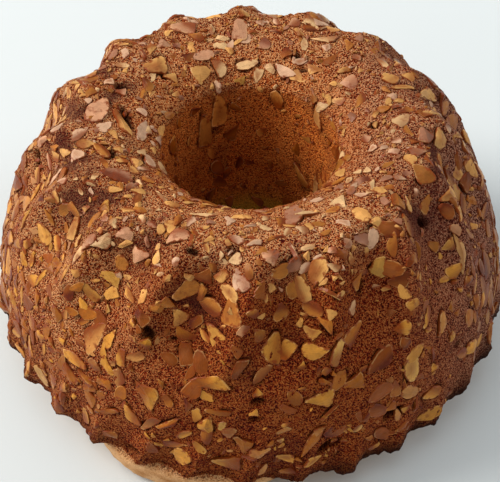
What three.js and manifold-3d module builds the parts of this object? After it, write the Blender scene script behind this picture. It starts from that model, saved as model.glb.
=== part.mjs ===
// Almond ring cake: a swirled, fluted cake turned out of its tin, with a hole down its middle,
// a risen base that bulges below the tin's rim, and flaked almonds baked flat into the crust.
// Millimetres, +Z up, standing on its flat base. The front of the cake faces -Y.
import * as THREE from "three";
import { mergeVertices } from "three/addons/utils/BufferGeometryUtils.js";
import Module from "manifold-3d";

// Driving dimensions of the tin's shape
const RIM_RADIUS = 113;
const TIN_DEPTH = 94;
const CREST_RADIUS = 74;
const SHOULDER_POWER = 1.65;
const THROAT_RADIUS = 38;
const THROAT_DROP = 15;
const LIP_POWER = 1.7;

// The risen base below the rim, and the foot of the hole
const BASE_RISE = 16;
const RIM_LIP = 2.5;
const BASE_RADIUS = 102;
const FLAT_RADIUS = 90;
const BASE_BULGE = 12;
const FLAT_BULGE = 19;
const BULGE_AT = -16;
const BULGE_HALF_WIDTH = 22;
const RIM_DROOP = 3;
const DROOP_AT = 28;
const DROOP_HALF_WIDTH = 26;
const DROOP_REACH = 0.4;
const HOLE_FOOT_RADIUS = 28;
const HOLE_FOOT_ROUND = 6;

// Flutes: wide hollows between narrow ridges, twice as many at the rim as on the shoulder.
// The angles are degrees round from the front, to the right. FROM and TO are shares of the way
// from the rim to the crest: where the scallops end, the flutes begin and the flutes fade out.
const FLUTES = 16;
const FLUTE_DEPTH = 8;
const FLUTE_STANDS_OUT = 0.13;
const SCALLOP_DEPTH = 4;
const SCALLOP_STANDS_OUT = 0.35;
const RIDGE_ROUNDING = 0.25;
const RIDGE_AT_RIM = -12.8;
const SWIRL = 17.5;
const SCALLOPS_END_FROM = 0.03;
const SCALLOPS_END_TO = 0.28;
const FLUTES_BEGIN_FROM = 0.34;
const FLUTES_BEGIN_TO = 0.6;
const FADE_FROM = 0.6;
const FADE_TO = 1.24;

// Almond flakes. BARE is the share of the crust's area that has none, at the rim and the throat.
const FLAKES = 90;
const FLAKE_LENGTH = 14;
const FLAKE_WIDTH = 8.5;
const FLAKE_TAPER = 0.3;
const FLAKE_THICKNESS = 3;
const FLAKE_STANDS_OUT = 0.8;
const FLAKE_CORNERS = 8;
const FLAKE_SIZE_SPREAD = 0.3;
const FLAKE_TILT = 6;
const FLAKE_JITTER = 0.3;
const FLAKE_SEED = 7;
const BARE_AT_RIM = 0.05;
const BARE_AT_THROAT = 0.05;

// Fineness of the surface
const COLUMNS_PER_SCALLOP = 4;
const WALL_ROWS = 10;
const LIP_ROWS = 4;
const HOLE_ROWS = 1;
const ROUND_ROWS = 2;
const AREA_STEPS = 400;
const SLOPE_STEP = 0.01;
const FLAKE_REACH = 0.045;
const WELD = 1e-4;

const CREST_HEIGHT = BASE_RISE + TIN_DEPTH;
const QUARTER_TURN = Math.PI / 2;
const GOLDEN_TURN = Math.PI * (3 - Math.sqrt(5));
const radians = THREE.MathUtils.degToRad;
const smooth = THREE.MathUtils.smoothstep;

// The crust's profile runs from the rim (along = 0) over the crest (along = 1)
// and down to the crisp lip at the throat of the hole (along = 2).
function profilePoint(along) {
  if (along <= 1) {
    const angle = along * QUARTER_TURN;
    const outward = Math.pow(Math.max(Math.cos(angle), 0), 2 / SHOULDER_POWER);
    const upward = Math.pow(Math.max(Math.sin(angle), 0), 2 / SHOULDER_POWER);
    const radius = CREST_RADIUS + (RIM_RADIUS - CREST_RADIUS) * outward;
    return new THREE.Vector2(radius, BASE_RISE + TIN_DEPTH * upward);
  }
  const inward = Math.sin(Math.min(along - 1, 1) * QUARTER_TURN);
  const level = Math.pow(Math.max(1 - Math.pow(inward, LIP_POWER), 0), 1 / LIP_POWER);
  const radius = CREST_RADIUS - (CREST_RADIUS - THROAT_RADIUS) * inward;
  return new THREE.Vector2(radius, CREST_HEIGHT - THROAT_DROP * (1 - level));
}

function profileNormal(along) {
  const before = profilePoint(Math.max(along - SLOPE_STEP, 0));
  const after = profilePoint(Math.min(along + SLOPE_STEP, 2));
  const run = after.sub(before).normalize();
  return new THREE.Vector2(run.y, -run.x);
}

// A hollow seen in section: 0 on a narrow, rounded ridge and 1 in the middle of the hollow
function hollow(turns) {
  const wave = Math.sin(Math.PI * turns);
  const rounded = Math.sqrt(wave * wave + RIDGE_ROUNDING * RIDGE_ROUNDING) - RIDGE_ROUNDING;
  return rounded / (Math.sqrt(1 + RIDGE_ROUNDING * RIDGE_ROUNDING) - RIDGE_ROUNDING);
}

// How far the crust stands out of the profile. Main flutes hollow the shoulder and fade over the
// crest; below a plainer band the rim has two scallops to each flute.
function fluteOffset(along, azimuth) {
  const turns = (azimuth * FLUTES) / (2 * Math.PI);
  const begun = smooth(along, FLUTES_BEGIN_FROM, FLUTES_BEGIN_TO);
  const main = FLUTE_DEPTH * (1 - smooth(along, FADE_FROM, FADE_TO)) * begun;
  const scallop = SCALLOP_DEPTH * (1 - smooth(along, SCALLOPS_END_FROM, SCALLOPS_END_TO));
  const flute = main * (FLUTE_STANDS_OUT - hollow(turns));
  return flute + scallop * (SCALLOP_STANDS_OUT - hollow(2 * turns));
}

function swirl(along) {
  return radians(RIDGE_AT_RIM + SWIRL * Math.min(along, 1));
}

// 1 in one direction and 0 away from it, by degrees round from the front
function nearAzimuth(azimuth, centre, halfWidth) {
  const turned = azimuth - radians(centre);
  const away = Math.atan2(Math.sin(turned), Math.cos(turned)) / radians(halfWidth);
  return Math.exp(-Math.pow(away, 4));
}

// The rim hangs lower on one side of the front
function rimDroop(along, azimuth) {
  const side = nearAzimuth(azimuth, DROOP_AT, DROOP_HALF_WIDTH);
  return RIM_DROOP * side * (1 - smooth(along, 0, DROOP_REACH));
}

function around(radius, azimuth, height) {
  return new THREE.Vector3(radius * Math.sin(azimuth), -radius * Math.cos(azimuth), height);
}

// A point of the crust, at an azimuth counted from the ridge that swirls through the front
function crustPoint(along, azimuth) {
  const point = profilePoint(along);
  point.addScaledVector(profileNormal(along), fluteOffset(along, azimuth));
  const turned = azimuth + swirl(along);
  return around(point.x, turned, point.y - rimDroop(along, turned));
}

// The risen base, from the flat it stands on (0) up to the rim's underside (1).
// Under the front it swelled over the tin's rim and bulges out.
function basePoint(rise, azimuth) {
  const bulge = nearAzimuth(azimuth, BULGE_AT, BULGE_HALF_WIDTH);
  const flat = FLAT_RADIUS + FLAT_BULGE * bulge;
  const edge = BASE_RADIUS + BASE_BULGE * bulge;
  const angle = rise * QUARTER_TURN;
  const top = BASE_RISE - RIM_LIP - rimDroop(0, azimuth);
  const height = top * (1 - Math.cos(angle));
  return around(THREE.MathUtils.lerp(flat, edge, Math.sin(angle)), azimuth, height);
}

// The hole's wall, from the throat (0) to the start of its rounded foot (1)
function holePoint(drop, azimuth) {
  const top = profilePoint(2);
  const radius = THREE.MathUtils.lerp(top.x, HOLE_FOOT_RADIUS, drop);
  return around(radius, azimuth, THREE.MathUtils.lerp(top.y, HOLE_FOOT_ROUND, drop));
}

function footPoint(turn, azimuth) {
  const angle = turn * QUARTER_TURN;
  const radius = HOLE_FOOT_RADIUS + HOLE_FOOT_ROUND * (1 - Math.cos(angle));
  return around(radius, azimuth, HOLE_FOOT_ROUND * (1 - Math.sin(angle)));
}

// Rows of the closed surface, in order round the section: each turns an azimuth into a point
function sectionRows() {
  const rows = [];
  for (let i = 0; i <= WALL_ROWS; i++) {
    rows.push((azimuth) => crustPoint(i / WALL_ROWS, azimuth));
  }
  for (let i = 1; i <= LIP_ROWS; i++) {
    rows.push((azimuth) => crustPoint(1 + i / LIP_ROWS, azimuth));
  }
  for (let i = 1; i <= HOLE_ROWS; i++) {
    rows.push((azimuth) => holePoint(i / HOLE_ROWS, azimuth + swirl(1)));
  }
  for (let i = 1; i <= ROUND_ROWS; i++) {
    rows.push((azimuth) => footPoint(i / ROUND_ROWS, azimuth + swirl(1)));
  }
  for (let i = 0; i <= ROUND_ROWS; i++) {
    rows.push((azimuth) => basePoint(i / ROUND_ROWS, azimuth + swirl(0)));
  }
  return rows;
}

// The cake as one closed band of quads, round the hole and round the section
function cakeBody() {
  const rows = sectionRows();
  const columns = 2 * FLUTES * COLUMNS_PER_SCALLOP;
  const positions = [];
  const faces = [];
  for (const row of rows) {
    for (let column = 0; column < columns; column++) {
      positions.push(...row((2 * Math.PI * column) / columns).toArray());
    }
  }
  for (let i = 0; i < rows.length; i++) {
    const above = (i + 1) % rows.length;
    for (let column = 0; column < columns; column++) {
      const beside = (column + 1) % columns;
      const corner = i * columns + column;
      const opposite = above * columns + beside;
      faces.push(corner, i * columns + beside, opposite);
      faces.push(corner, opposite, above * columns + column);
    }
  }
  const geometry = new THREE.BufferGeometry();
  geometry.setAttribute("position", new THREE.Float32BufferAttribute(positions, 3));
  geometry.setIndex(faces);
  return geometry;
}

// The next of a fixed row of pseudo-random numbers, between -0.5 and 0.5
THREE.MathUtils.seededRandom(FLAKE_SEED);
function shake() {
  return THREE.MathUtils.seededRandom() - 0.5;
}

// A slice of almond: pointed at one end, rounded at the other, lying in its own XY plane
function flakeSlice(size) {
  const outline = new THREE.Shape();
  for (let corner = 0; corner < FLAKE_CORNERS; corner++) {
    const angle = (2 * Math.PI * corner) / FLAKE_CORNERS;
    const taper = 1 - FLAKE_TAPER * Math.cos(angle);
    const x = (size * FLAKE_LENGTH * Math.cos(angle)) / 2;
    const y = (size * FLAKE_WIDTH * Math.sin(angle) * taper) / 2;
    if (corner === 0) {
      outline.moveTo(x, y);
    } else {
      outline.lineTo(x, y);
    }
  }
  const slice = new THREE.ExtrudeGeometry(outline, { depth: FLAKE_THICKNESS, bevelEnabled: false });
  return slice.translate(0, 0, FLAKE_STANDS_OUT - FLAKE_THICKNESS);
}

// Places along the crust that split its area, from rim to throat, into equal shares
function alongAtArea() {
  const areas = [0];
  for (let i = 0; i < AREA_STEPS; i++) {
    const from = profilePoint((2 * i) / AREA_STEPS);
    const to = profilePoint((2 * (i + 1)) / AREA_STEPS);
    areas.push(areas[i] + from.distanceTo(to) * (from.x + to.x) * Math.PI);
  }
  return (part) => {
    const step = areas.findIndex((area) => area >= part * areas[AREA_STEPS]);
    return (2 * step) / AREA_STEPS;
  };
}

// Flakes follow one another round the cake by the golden turn, a little shaken, so they lie
// evenly all over the crust. Each lies as flat as the crust just round it lets it.
function almondFlakes() {
  const along = alongAtArea();
  const flakes = [];
  for (let i = 0; i < FLAKES; i++) {
    const part = THREE.MathUtils.lerp(BARE_AT_RIM, 1 - BARE_AT_THROAT, (i + 0.5) / FLAKES);
    const place = along(part);
    const azimuth = i * GOLDEN_TURN + FLAKE_JITTER * shake();
    const size = 1 + FLAKE_SIZE_SPREAD * shake();
    const above = crustPoint(Math.min(place + FLAKE_REACH, 2), azimuth);
    const below = crustPoint(Math.max(place - FLAKE_REACH, 0), azimuth);
    const right = crustPoint(place, azimuth + FLAKE_REACH);
    const left = crustPoint(place, azimuth - FLAKE_REACH);
    const middle = above.clone().add(below).add(right).add(left).divideScalar(4);
    const upward = above.sub(below).normalize();
    const normal = right.sub(left).cross(upward).normalize();
    const frame = new THREE.Matrix4().makeBasis(upward, normal.clone().cross(upward), normal);
    frame.setPosition(middle);
    const tilt = radians(FLAKE_TILT) * shake();
    const turn = new THREE.Euler(tilt, tilt, 2 * Math.PI * shake());
    const slice = flakeSlice(size).applyMatrix4(new THREE.Matrix4().makeRotationFromEuler(turn));
    flakes.push(slice.applyMatrix4(frame));
  }
  return flakes;
}

const wasm = await Module();
wasm.setup();

// A closed solid from a geometry whose corners are shared between its faces
function solid(geometry) {
  const bare = geometry.clone();
  bare.deleteAttribute("normal");
  bare.deleteAttribute("uv");
  const merged = mergeVertices(bare, WELD);
  const mesh = new wasm.Mesh({
    numProp: 3,
    vertProperties: new Float32Array(merged.attributes.position.array),
    triVerts: new Uint32Array(merged.index.array),
  });
  return new wasm.Manifold(mesh);
}

let whole = solid(cakeBody());
for (const flake of almondFlakes()) {
  whole = whole.add(solid(flake));
}

const skin = whole.getMesh();
const geometry = new THREE.BufferGeometry();
geometry.setAttribute("position", new THREE.Float32BufferAttribute(skin.vertProperties, 3));
geometry.setIndex(new THREE.Uint32BufferAttribute(skin.triVerts, 1));
geometry.computeVertexNormals();

const crust = new THREE.MeshStandardMaterial({ color: 0x8a4f2a, roughness: 0.85, metalness: 0 });
const cake = new THREE.Mesh(geometry, crust);
cake.name = "cake";

const almondCake = new THREE.Group();
almondCake.name = "almond_cake";
almondCake.add(cake);

export default almondCake;
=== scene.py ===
# %% [markdown]
# # An almond ring cake
# A tall cake baked in a fluted tin, turned out and set on its broad side. The tin was lined with
# flaked almonds, and they are baked flat into the brown crust. This lesson turns a plain ring,
# flutes it, lays the almonds on it, roughens the crumb between them and colours it all.

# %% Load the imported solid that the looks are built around
import math

import bpy
import numpy as np
from mathutils import Matrix, Vector


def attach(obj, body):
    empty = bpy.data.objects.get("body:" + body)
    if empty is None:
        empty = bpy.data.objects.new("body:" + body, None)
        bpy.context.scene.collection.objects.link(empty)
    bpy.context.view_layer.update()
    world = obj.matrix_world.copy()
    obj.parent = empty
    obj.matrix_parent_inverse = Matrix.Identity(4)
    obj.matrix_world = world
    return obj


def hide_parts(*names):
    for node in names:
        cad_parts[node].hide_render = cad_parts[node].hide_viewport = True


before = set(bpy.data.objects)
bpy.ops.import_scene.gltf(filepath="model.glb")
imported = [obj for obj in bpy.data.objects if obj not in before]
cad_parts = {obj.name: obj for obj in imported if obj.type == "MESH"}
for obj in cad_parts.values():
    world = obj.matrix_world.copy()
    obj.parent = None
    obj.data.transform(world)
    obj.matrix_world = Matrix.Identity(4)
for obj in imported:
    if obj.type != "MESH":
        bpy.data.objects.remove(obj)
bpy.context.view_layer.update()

MM = 0.001

# %% [markdown]
# ## Camera
# The photograph looks down into the hole from the front. The angle, distance and lens below make
# the rim, the crest and the mouth of the hole fall where the photograph has them.

# %% Camera
FRAME_WIDTH_PX = 500
FOCAL_PX = 1455
SENSOR_MM = 36
CAMERA_ELEVATION = 46.8
CAMERA_DISTANCE = 619
CAMERA_AIM = Vector((0, -23.9, 63.5))

camera_data = bpy.data.cameras.new("camera")
camera_data.sensor_width = SENSOR_MM
camera_data.lens = FOCAL_PX / FRAME_WIDTH_PX * SENSOR_MM
camera = bpy.data.objects.new("camera", camera_data)
bpy.context.scene.collection.objects.link(camera)
elevation = math.radians(CAMERA_ELEVATION)
looking = Vector((0, math.cos(elevation), -math.sin(elevation)))
camera.location = (CAMERA_AIM - CAMERA_DISTANCE * looking) * MM
camera.rotation_euler = looking.to_track_quat("-Z", "Y").to_euler()
bpy.context.scene.camera = camera
print("lens", round(camera_data.lens, 1), "mm")

# %% [markdown]
# ## Helpers for node trees
# Every material and every Geometry Nodes tree below is made by one helper, which adds a node, sets
# its settings, and feeds each input with a value or with another node's output. Colours are
# written as sRGB hex, as a colour picker shows them, and turned into the linear light Blender uses.

# %% Node and colour helpers
SMOOTH = {"interpolation_type": "SMOOTHSTEP"}


def add(tree, kind, settings=None, links=None):
    node = tree.nodes.new(kind)
    for name, value in (settings or {}).items():
        setattr(node, name, value)
    for key, value in (links or {}).items():
        if isinstance(value, bpy.types.NodeSocket):
            tree.links.new(value, node.inputs[key])
        else:
            node.inputs[key].default_value = value
    return node


def srgb(hex_colour):
    levels = [int(hex_colour[i:i + 2], 16) / 255 for i in (1, 3, 5)]
    linear = [v / 12.92 if v <= 0.04045 else ((v + 0.055) / 1.055) ** 2.4 for v in levels]
    return (*linear, 1.0)


def new_material(name):
    material = bpy.data.materials.new(name)
    material.use_nodes = True
    material.node_tree.nodes.clear()
    return material, material.node_tree


print("middle grey in linear light:", round(srgb("#808080")[0], 3))

# %% [markdown]
# ## Floor and light
# A pale floor in soft daylight. Four broad round lights stand for a room: a window behind on the
# left, the sky overhead, a weak fill in front and an open door on the right. Small lamps would draw
# hard shadows; these leave the right side and the hole in soft shade, as the photograph has them.

# %% Floor
FLOOR_SIZE = 6.0
# Matt paint scatters light evenly, so its roughness is high and the eye sees no shine.
floor_material, tree = new_material("matt_white_paint")
paint = add(tree, "ShaderNodeBsdfPrincipled", None,
            {"Base Color": srgb("#ccd1d1"), "Roughness": 0.9})
add(tree, "ShaderNodeOutputMaterial", None, {"Surface": paint.outputs[0]})
floor_mesh = bpy.data.meshes.new("floor")
half = FLOOR_SIZE / 2
floor_mesh.from_pydata([(-half, -half, 0), (half, -half, 0), (half, half, 0), (-half, half, 0)],
                       [], [(0, 1, 2, 3)])
floor_mesh.materials.append(floor_material)
floor = bpy.data.objects.new("floor", floor_mesh)
bpy.context.scene.collection.objects.link(floor)
print("floor", FLOOR_SIZE, "m wide")

# %% Light: each one's name, place and width in metres, power in watts, and colour
LIGHTS = [
    ("window", (-3.0, 0.5, 2.4), 2.4, 172, (1.0, 0.98, 0.95)),
    ("sky", (-0.3, 0.3, 2.4), 2.4, 17, (0.94, 0.98, 1.0)),
    ("fill", (-1.5, -1.4, 1.0), 1.2, 5, (1.0, 0.95, 0.88)),
    ("door", (1.9, 0.5, 1.0), 1.2, 15, (0.86, 0.94, 1.0)),
]
LIGHT_AIM = Vector((0, 0, 0.06))
ROOM_STRENGTH = 0.4

world = bpy.data.worlds.new("white_room")
world.use_nodes = True
room = world.node_tree.nodes["Background"]
room.inputs["Color"].default_value = (1.0, 1.0, 1.0, 1)
room.inputs["Strength"].default_value = ROOM_STRENGTH
bpy.context.scene.world = world
bpy.context.scene.view_settings.view_transform = "Standard"
for name, place, width, power, colour in LIGHTS:
    light = bpy.data.lights.new(name, "AREA")
    light.shape = "DISK"
    light.size = width
    light.energy = power
    light.color = colour
    lamp = bpy.data.objects.new(name, light)
    lamp.location = place
    lamp.rotation_euler = (LIGHT_AIM - Vector(place)).to_track_quat("-Z", "Y").to_euler()
    bpy.context.scene.collection.objects.link(lamp)
print("lights:", [row[0] for row in LIGHTS])

# %% [markdown]
# ## The plain ring
# The tin without its flutes is a turned shape, so its section is worked out once and carried round.
# `along` runs round that section: 0 at the rim, 1 on the crest, 2 at the throat of the hole, 3 at
# the foot of the hole's wall, 4 on the flat underside, 5 at its outer edge and 6 back under the
# rim. Two unevennesses of this cake are built in: its base swelled over the tin under the front
# left, and its rim hangs lower at the front right. The crust needs finer faces than the hole and
# the underside, so those have half as many columns and are stitched to it.

# %% Sizes of the ring, in millimetres and degrees
# The two powers round the shoulder and the lip; the droop ends at a place along the section.
RIM_RADIUS = 113
TIN_DEPTH = 94
CREST_RADIUS = 74
SHOULDER_POWER = 1.65
THROAT_RADIUS = 38
THROAT_DROP = 15
LIP_POWER = 1.7
BASE_RISE = 16
RIM_LIP = 2.5
BASE_RADIUS = 102
FLAT_RADIUS = 90
BASE_BULGE = 12
FLAT_BULGE = 19
BULGE_AT, BULGE_HALF_WIDTH = -16, 22
RIM_DROOP = 3
DROOP_AT, DROOP_HALF_WIDTH = 28, 26
DROOP_ENDS = 0.4
HOLE_FOOT_RADIUS = 28
HOLE_FOOT_ROUND = 6
FLUTES = 16
RIDGE_AT_RIM = -12.8
SWIRL = 17.5
CREST_HEIGHT = BASE_RISE + TIN_DEPTH
QUARTER = math.pi / 2
print("crest", CREST_HEIGHT, "mm high, rim", 2 * RIM_RADIUS, "mm across")


# %% Easing, and what varies round the ring
def smooth(value, low, high):
    t = np.clip((value - low) / (high - low), 0, 1)
    return t * t * (3 - 2 * t)


def window(azimuth, centre, half_width):
    turned = azimuth - math.radians(centre)
    away = np.arctan2(np.sin(turned), np.cos(turned)) / math.radians(half_width)
    return np.exp(-away ** 4)


def rim_droop(along, azimuth):
    return RIM_DROOP * window(azimuth, DROOP_AT, DROOP_HALF_WIDTH) * (1 - smooth(along, 0, DROOP_ENDS))


def swirl(along):
    lean = np.where(along <= 4, np.clip(along, 0, 1), np.clip(5 - along, 0, 1))
    return np.radians(RIDGE_AT_RIM + SWIRL * lean)


print("rim hangs", round(float(rim_droop(0, math.radians(DROOP_AT))), 1), "mm lower at the front right")


# %% The section
def section(along, azimuth):
    wall = np.clip(along, 0, 1) * QUARTER
    lip = np.clip(along - 1, 0, 1) * QUARTER
    outward = np.clip(np.cos(wall), 0, 1) ** (2 / SHOULDER_POWER)
    upward = np.sin(wall) ** (2 / SHOULDER_POWER)
    radius = CREST_RADIUS + (RIM_RADIUS - CREST_RADIUS) * outward
    inward = np.sin(lip)
    level = np.clip(1 - inward ** LIP_POWER, 0, 1) ** (1 / LIP_POWER)
    radius = radius - (CREST_RADIUS - THROAT_RADIUS) * inward
    height = BASE_RISE + TIN_DEPTH * upward - THROAT_DROP * (1 - level)
    height = height - rim_droop(along, azimuth)

    down = np.clip(along - 2, 0, 1)
    foot = np.clip(along - 3, 0, 1) * QUARTER
    throat_height = CREST_HEIGHT - THROAT_DROP
    hole_radius = THROAT_RADIUS + (HOLE_FOOT_RADIUS - THROAT_RADIUS) * down
    hole_radius = hole_radius + HOLE_FOOT_ROUND * (1 - np.cos(foot))
    hole_height = throat_height + (HOLE_FOOT_ROUND - throat_height) * down
    hole_height = hole_height - HOLE_FOOT_ROUND * np.sin(foot)

    bulge = window(azimuth, BULGE_AT, BULGE_HALF_WIDTH)
    across = np.clip(along - 4, 0, 1)
    rise = np.clip(along - 5, 0, 1) * QUARTER
    flat_edge = FLAT_RADIUS + FLAT_BULGE * bulge
    base_edge = BASE_RADIUS + BASE_BULGE * bulge
    foot_edge = HOLE_FOOT_RADIUS + HOLE_FOOT_ROUND
    base_radius = foot_edge + (flat_edge - foot_edge) * across + (base_edge - flat_edge) * np.sin(rise)
    base_height = (BASE_RISE - RIM_LIP - rim_droop(0, azimuth)) * (1 - np.cos(rise))

    radius = np.where(along <= 2, radius, np.where(along <= 4, hole_radius, base_radius))
    height = np.where(along <= 2, height, np.where(along <= 4, hole_height, base_height))
    return radius, height


def ring_grid(alongs, columns):
    along = np.asarray(alongs)[:, None] * np.ones(columns)
    share = np.ones(len(alongs))[:, None] * np.arange(columns) / columns
    azimuth = 2 * math.pi * share + swirl(along)
    radius, height = section(along, azimuth)
    place = np.stack([radius * np.sin(azimuth), -radius * np.cos(azimuth), height], axis=-1)
    return place, along, share


print("radius and height of the throat:", np.round(section(2.0, 0.0), 1), "mm")

# %% Faces of the ring
CRUST_COLUMNS = 608
WALL_ROWS, LIP_ROWS, HOLE_ROWS, FOOT_ROWS, FLAT_ROWS, BASE_ROWS = 96, 36, 20, 4, 5, 10


def steps(start, rows):
    return [start + (i + 1) / rows for i in range(rows)]


crust_alongs = [0.0] + steps(0, WALL_ROWS) + steps(1, LIP_ROWS)
under_alongs = steps(2, HOLE_ROWS) + steps(3, FOOT_ROWS) + steps(4, FLAT_ROWS) + steps(5, BASE_ROWS)
crust_place, crust_along, crust_share = ring_grid(crust_alongs, CRUST_COLUMNS)
under_place, under_along, under_share = ring_grid(under_alongs, CRUST_COLUMNS // 2)


def band_faces(first, rows, columns):
    corner = first + np.arange(rows - 1)[:, None] * columns + np.arange(columns)
    beside = first + np.arange(rows - 1)[:, None] * columns + (np.arange(columns) + 1) % columns
    return np.stack([corner, beside, beside + columns, corner + columns], axis=-1).reshape(-1, 4)


def stitch_faces(fine, coarse, fine_is_below):
    faces = []
    for k in range(len(coarse)):
        a, b, c = fine[2 * k], fine[2 * k + 1], fine[(2 * k + 2) % len(fine)]
        d, e = coarse[k], coarse[(k + 1) % len(coarse)]
        triangles = [(a, b, d), (b, e, d), (b, c, e)]
        faces += triangles if fine_is_below else [t[::-1] for t in triangles]
    return faces


crust_count = crust_place.shape[0] * crust_place.shape[1]
under_columns = under_place.shape[1]
under_count = under_place.shape[0] * under_columns
crust_rows = len(crust_alongs)
throat_row = list(range((crust_rows - 1) * CRUST_COLUMNS, crust_count))
rim_row = list(range(CRUST_COLUMNS))
under_first = list(range(crust_count, crust_count + under_columns))
under_last = list(range(crust_count + under_count - under_columns, crust_count + under_count))
ring_faces = band_faces(0, crust_rows, CRUST_COLUMNS).tolist()
ring_faces += band_faces(crust_count, len(under_alongs), under_columns).tolist()
ring_faces += stitch_faces(throat_row, under_first, True)
ring_faces += stitch_faces(rim_row, under_last, False)
print("rows of the crust:", crust_rows, "and under it:", len(under_alongs))


# %% The ring as a mesh, with what the flute rule needs to know at each point
def section_normal(place):
    back, ahead = np.roll(place, 1, axis=0), np.roll(place, -1, axis=0)
    back[0], ahead[-1] = place[0], place[-1]
    run = ahead - back
    side = np.roll(place, -1, axis=1) - np.roll(place, 1, axis=1)
    normal = np.cross(side, run)
    return normal / np.linalg.norm(normal, axis=-1, keepdims=True)


def set_attribute(mesh, name, kind, values):
    attribute = mesh.attributes.new(name, kind, "POINT")
    field = {"FLOAT": "value", "INT": "value", "FLOAT_VECTOR": "vector", "FLOAT_COLOR": "color"}[kind]
    attribute.data.foreach_set(field, np.ascontiguousarray(values).ravel())


def join_grids(crust, under):
    width = crust.shape[2:] if crust.ndim > 2 else ()
    return np.concatenate([crust.reshape((-1,) + width), under.reshape((-1,) + width)])


ring_places = join_grids(crust_place, under_place)
ring_along = join_grids(crust_along, under_along)
ring_share = join_grids(crust_share, under_share)
ring_outward = join_grids(section_normal(crust_place), section_normal(under_place))
ring_mesh = bpy.data.meshes.new("cake_crust")
ring_mesh.from_pydata((ring_places * MM).tolist(), [], ring_faces)
set_attribute(ring_mesh, "along", "FLOAT", ring_along)
set_attribute(ring_mesh, "round", "FLOAT", ring_share)
set_attribute(ring_mesh, "outward", "FLOAT_VECTOR", ring_outward)
cake = bpy.data.objects.new("cake_crust", ring_mesh)
bpy.context.scene.collection.objects.link(cake)
print("ring:", len(ring_places), "points,", len(ring_faces), "faces")

# %% [markdown]
# ## Where the crust browned, and where light and shade are painted
# An oven browns a cake unevenly: burnt along most of the rim, scorched in the hollows of the crest,
# and pale where the dough never met the tin. The left and the back are painted paler, as painted
# light, and the right greyer, as painted shade. These places could be painted on a picture, but
# the ring already knows where each point lies, so each is a rule on that place, kept as a number
# from 0 to 1 that the crumb's colours read.

# %% Sides: the middle and the half width of each, in degrees round from the front
# Painted light makes the left side and the back paler.
PAINTED_LIGHT_SIDE, PAINTED_LIGHT_BACK, BACK_SHARE = (-80, 52), (180, 70), 0.5
# Painted shade makes the right side greyer, on the crumb and on the slices.
PAINTED_SHADE_SIDE = (95, 48)
UNBURNT_FRONT, UNBURNT_SHARE = (-22, 36), 0.7
SCORCHED_SIDE, SCORCHED_ELSEWHERE = (-75, 55), 0.35

ring_azimuth = np.arctan2(ring_places[:, 0], -ring_places[:, 1])
paler = np.maximum(window(ring_azimuth, *PAINTED_LIGHT_SIDE), BACK_SHARE * window(ring_azimuth, *PAINTED_LIGHT_BACK))
greyer = window(ring_azimuth, *PAINTED_SHADE_SIDE)
burnt = 1 - UNBURNT_SHARE * window(ring_azimuth, *UNBURNT_FRONT)
print("mean paleness:", round(paler.mean(), 2), "and greyness:", round(greyer.mean(), 2))

# %% Bands: where along the section each begins and is full
ON_LIP, LIP_SHARE = (1.25, 1.75), 0.4
ON_HOLE_WALL, ON_HOLE_FOOT = (1.85, 2.05), (2.6, 2.78)
ON_BASE, HOLE_ENDS = (3.9, 4.2), 3.95
SCORCH_BEGINS, SCORCH_ENDS = (0.6, 0.85), (1.05, 1.3)

above_base = ring_along < HOLE_ENDS
in_hole = np.maximum(smooth(ring_along, *ON_HOLE_WALL), LIP_SHARE * smooth(ring_along, *ON_LIP))
hole_foot = smooth(ring_along, *ON_HOLE_FOOT)
on_base = smooth(ring_along, *ON_BASE)
on_crest = smooth(ring_along, *SCORCH_BEGINS) * (1 - smooth(ring_along, *SCORCH_ENDS))
scorched_side = SCORCHED_ELSEWHERE + (1 - SCORCHED_ELSEWHERE) * window(ring_azimuth, *SCORCHED_SIDE)
in_hollow = np.sin(math.pi * FLUTES * ring_share) ** 2
scorch = in_hollow * on_crest * scorched_side
print("points on the base:", int((on_base > 0).sum()))

# %% Scorched patches seen in the photograph: two ends, as degrees round and along, and width in mm
SCORCHES = [
    (-87, 0.84, -70, 1.02, 13), (-61, 0.78, -53, 1.05, 11), (-16, 0.70, -11, 0.63, 7),
    (52, 0.88, 57, 0.74, 8), (68, 0.86, 80, 0.92, 9), (-105, 1.22, -115, 1.30, 7),
]
# About how many millimetres of crust there are to a radian round and to a step of one along
MM_ROUND, MM_ALONG = 80, 100

unrolled = np.stack([ring_azimuth * MM_ROUND, ring_along * MM_ALONG], axis=1)
for azimuth, along, to_azimuth, to_along, width in SCORCHES:
    start = np.array([math.radians(azimuth) * MM_ROUND, along * MM_ALONG])
    run = np.array([math.radians(to_azimuth) * MM_ROUND, to_along * MM_ALONG]) - start
    nearest = np.clip((unrolled - start) @ run / (run @ run), 0, 1)
    away = np.linalg.norm(unrolled - start - nearest[:, None] * run, axis=1)
    scorch = np.maximum(scorch, np.exp(-(away / width) ** 2))
for name, values in (("paler", paler), ("greyer", greyer), ("burnt", burnt), ("scorch", scorch),
                     ("in_hole", in_hole * above_base), ("hole_foot", hole_foot * above_base),
                     ("on_base", on_base)):
    set_attribute(ring_mesh, name, "FLOAT", values)
print("scorched points:", int((scorch > 0.5).sum()))

# %% [markdown]
# ## Flutes
# The tin's flutes are wide hollows between narrow ridges. There are sixteen on the shoulder, fading
# over the crest; below a plainer band the rim has two scallops to each flute. They could be cut one
# by one with a ridge-shaped tool. But they are a rule on two numbers per point, so a Geometry Nodes
# tree moves each point along the section's normal, and one input changes all the flutes at once.

# %% A tree that flutes the ring
# Where along the section the scallops end, and where the flutes begin and fade
SCALLOPS_END, FLUTES_BEGIN, FLUTES_FADE = (0.03, 0.28), (0.34, 0.6), (0.6, 1.24)


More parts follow.
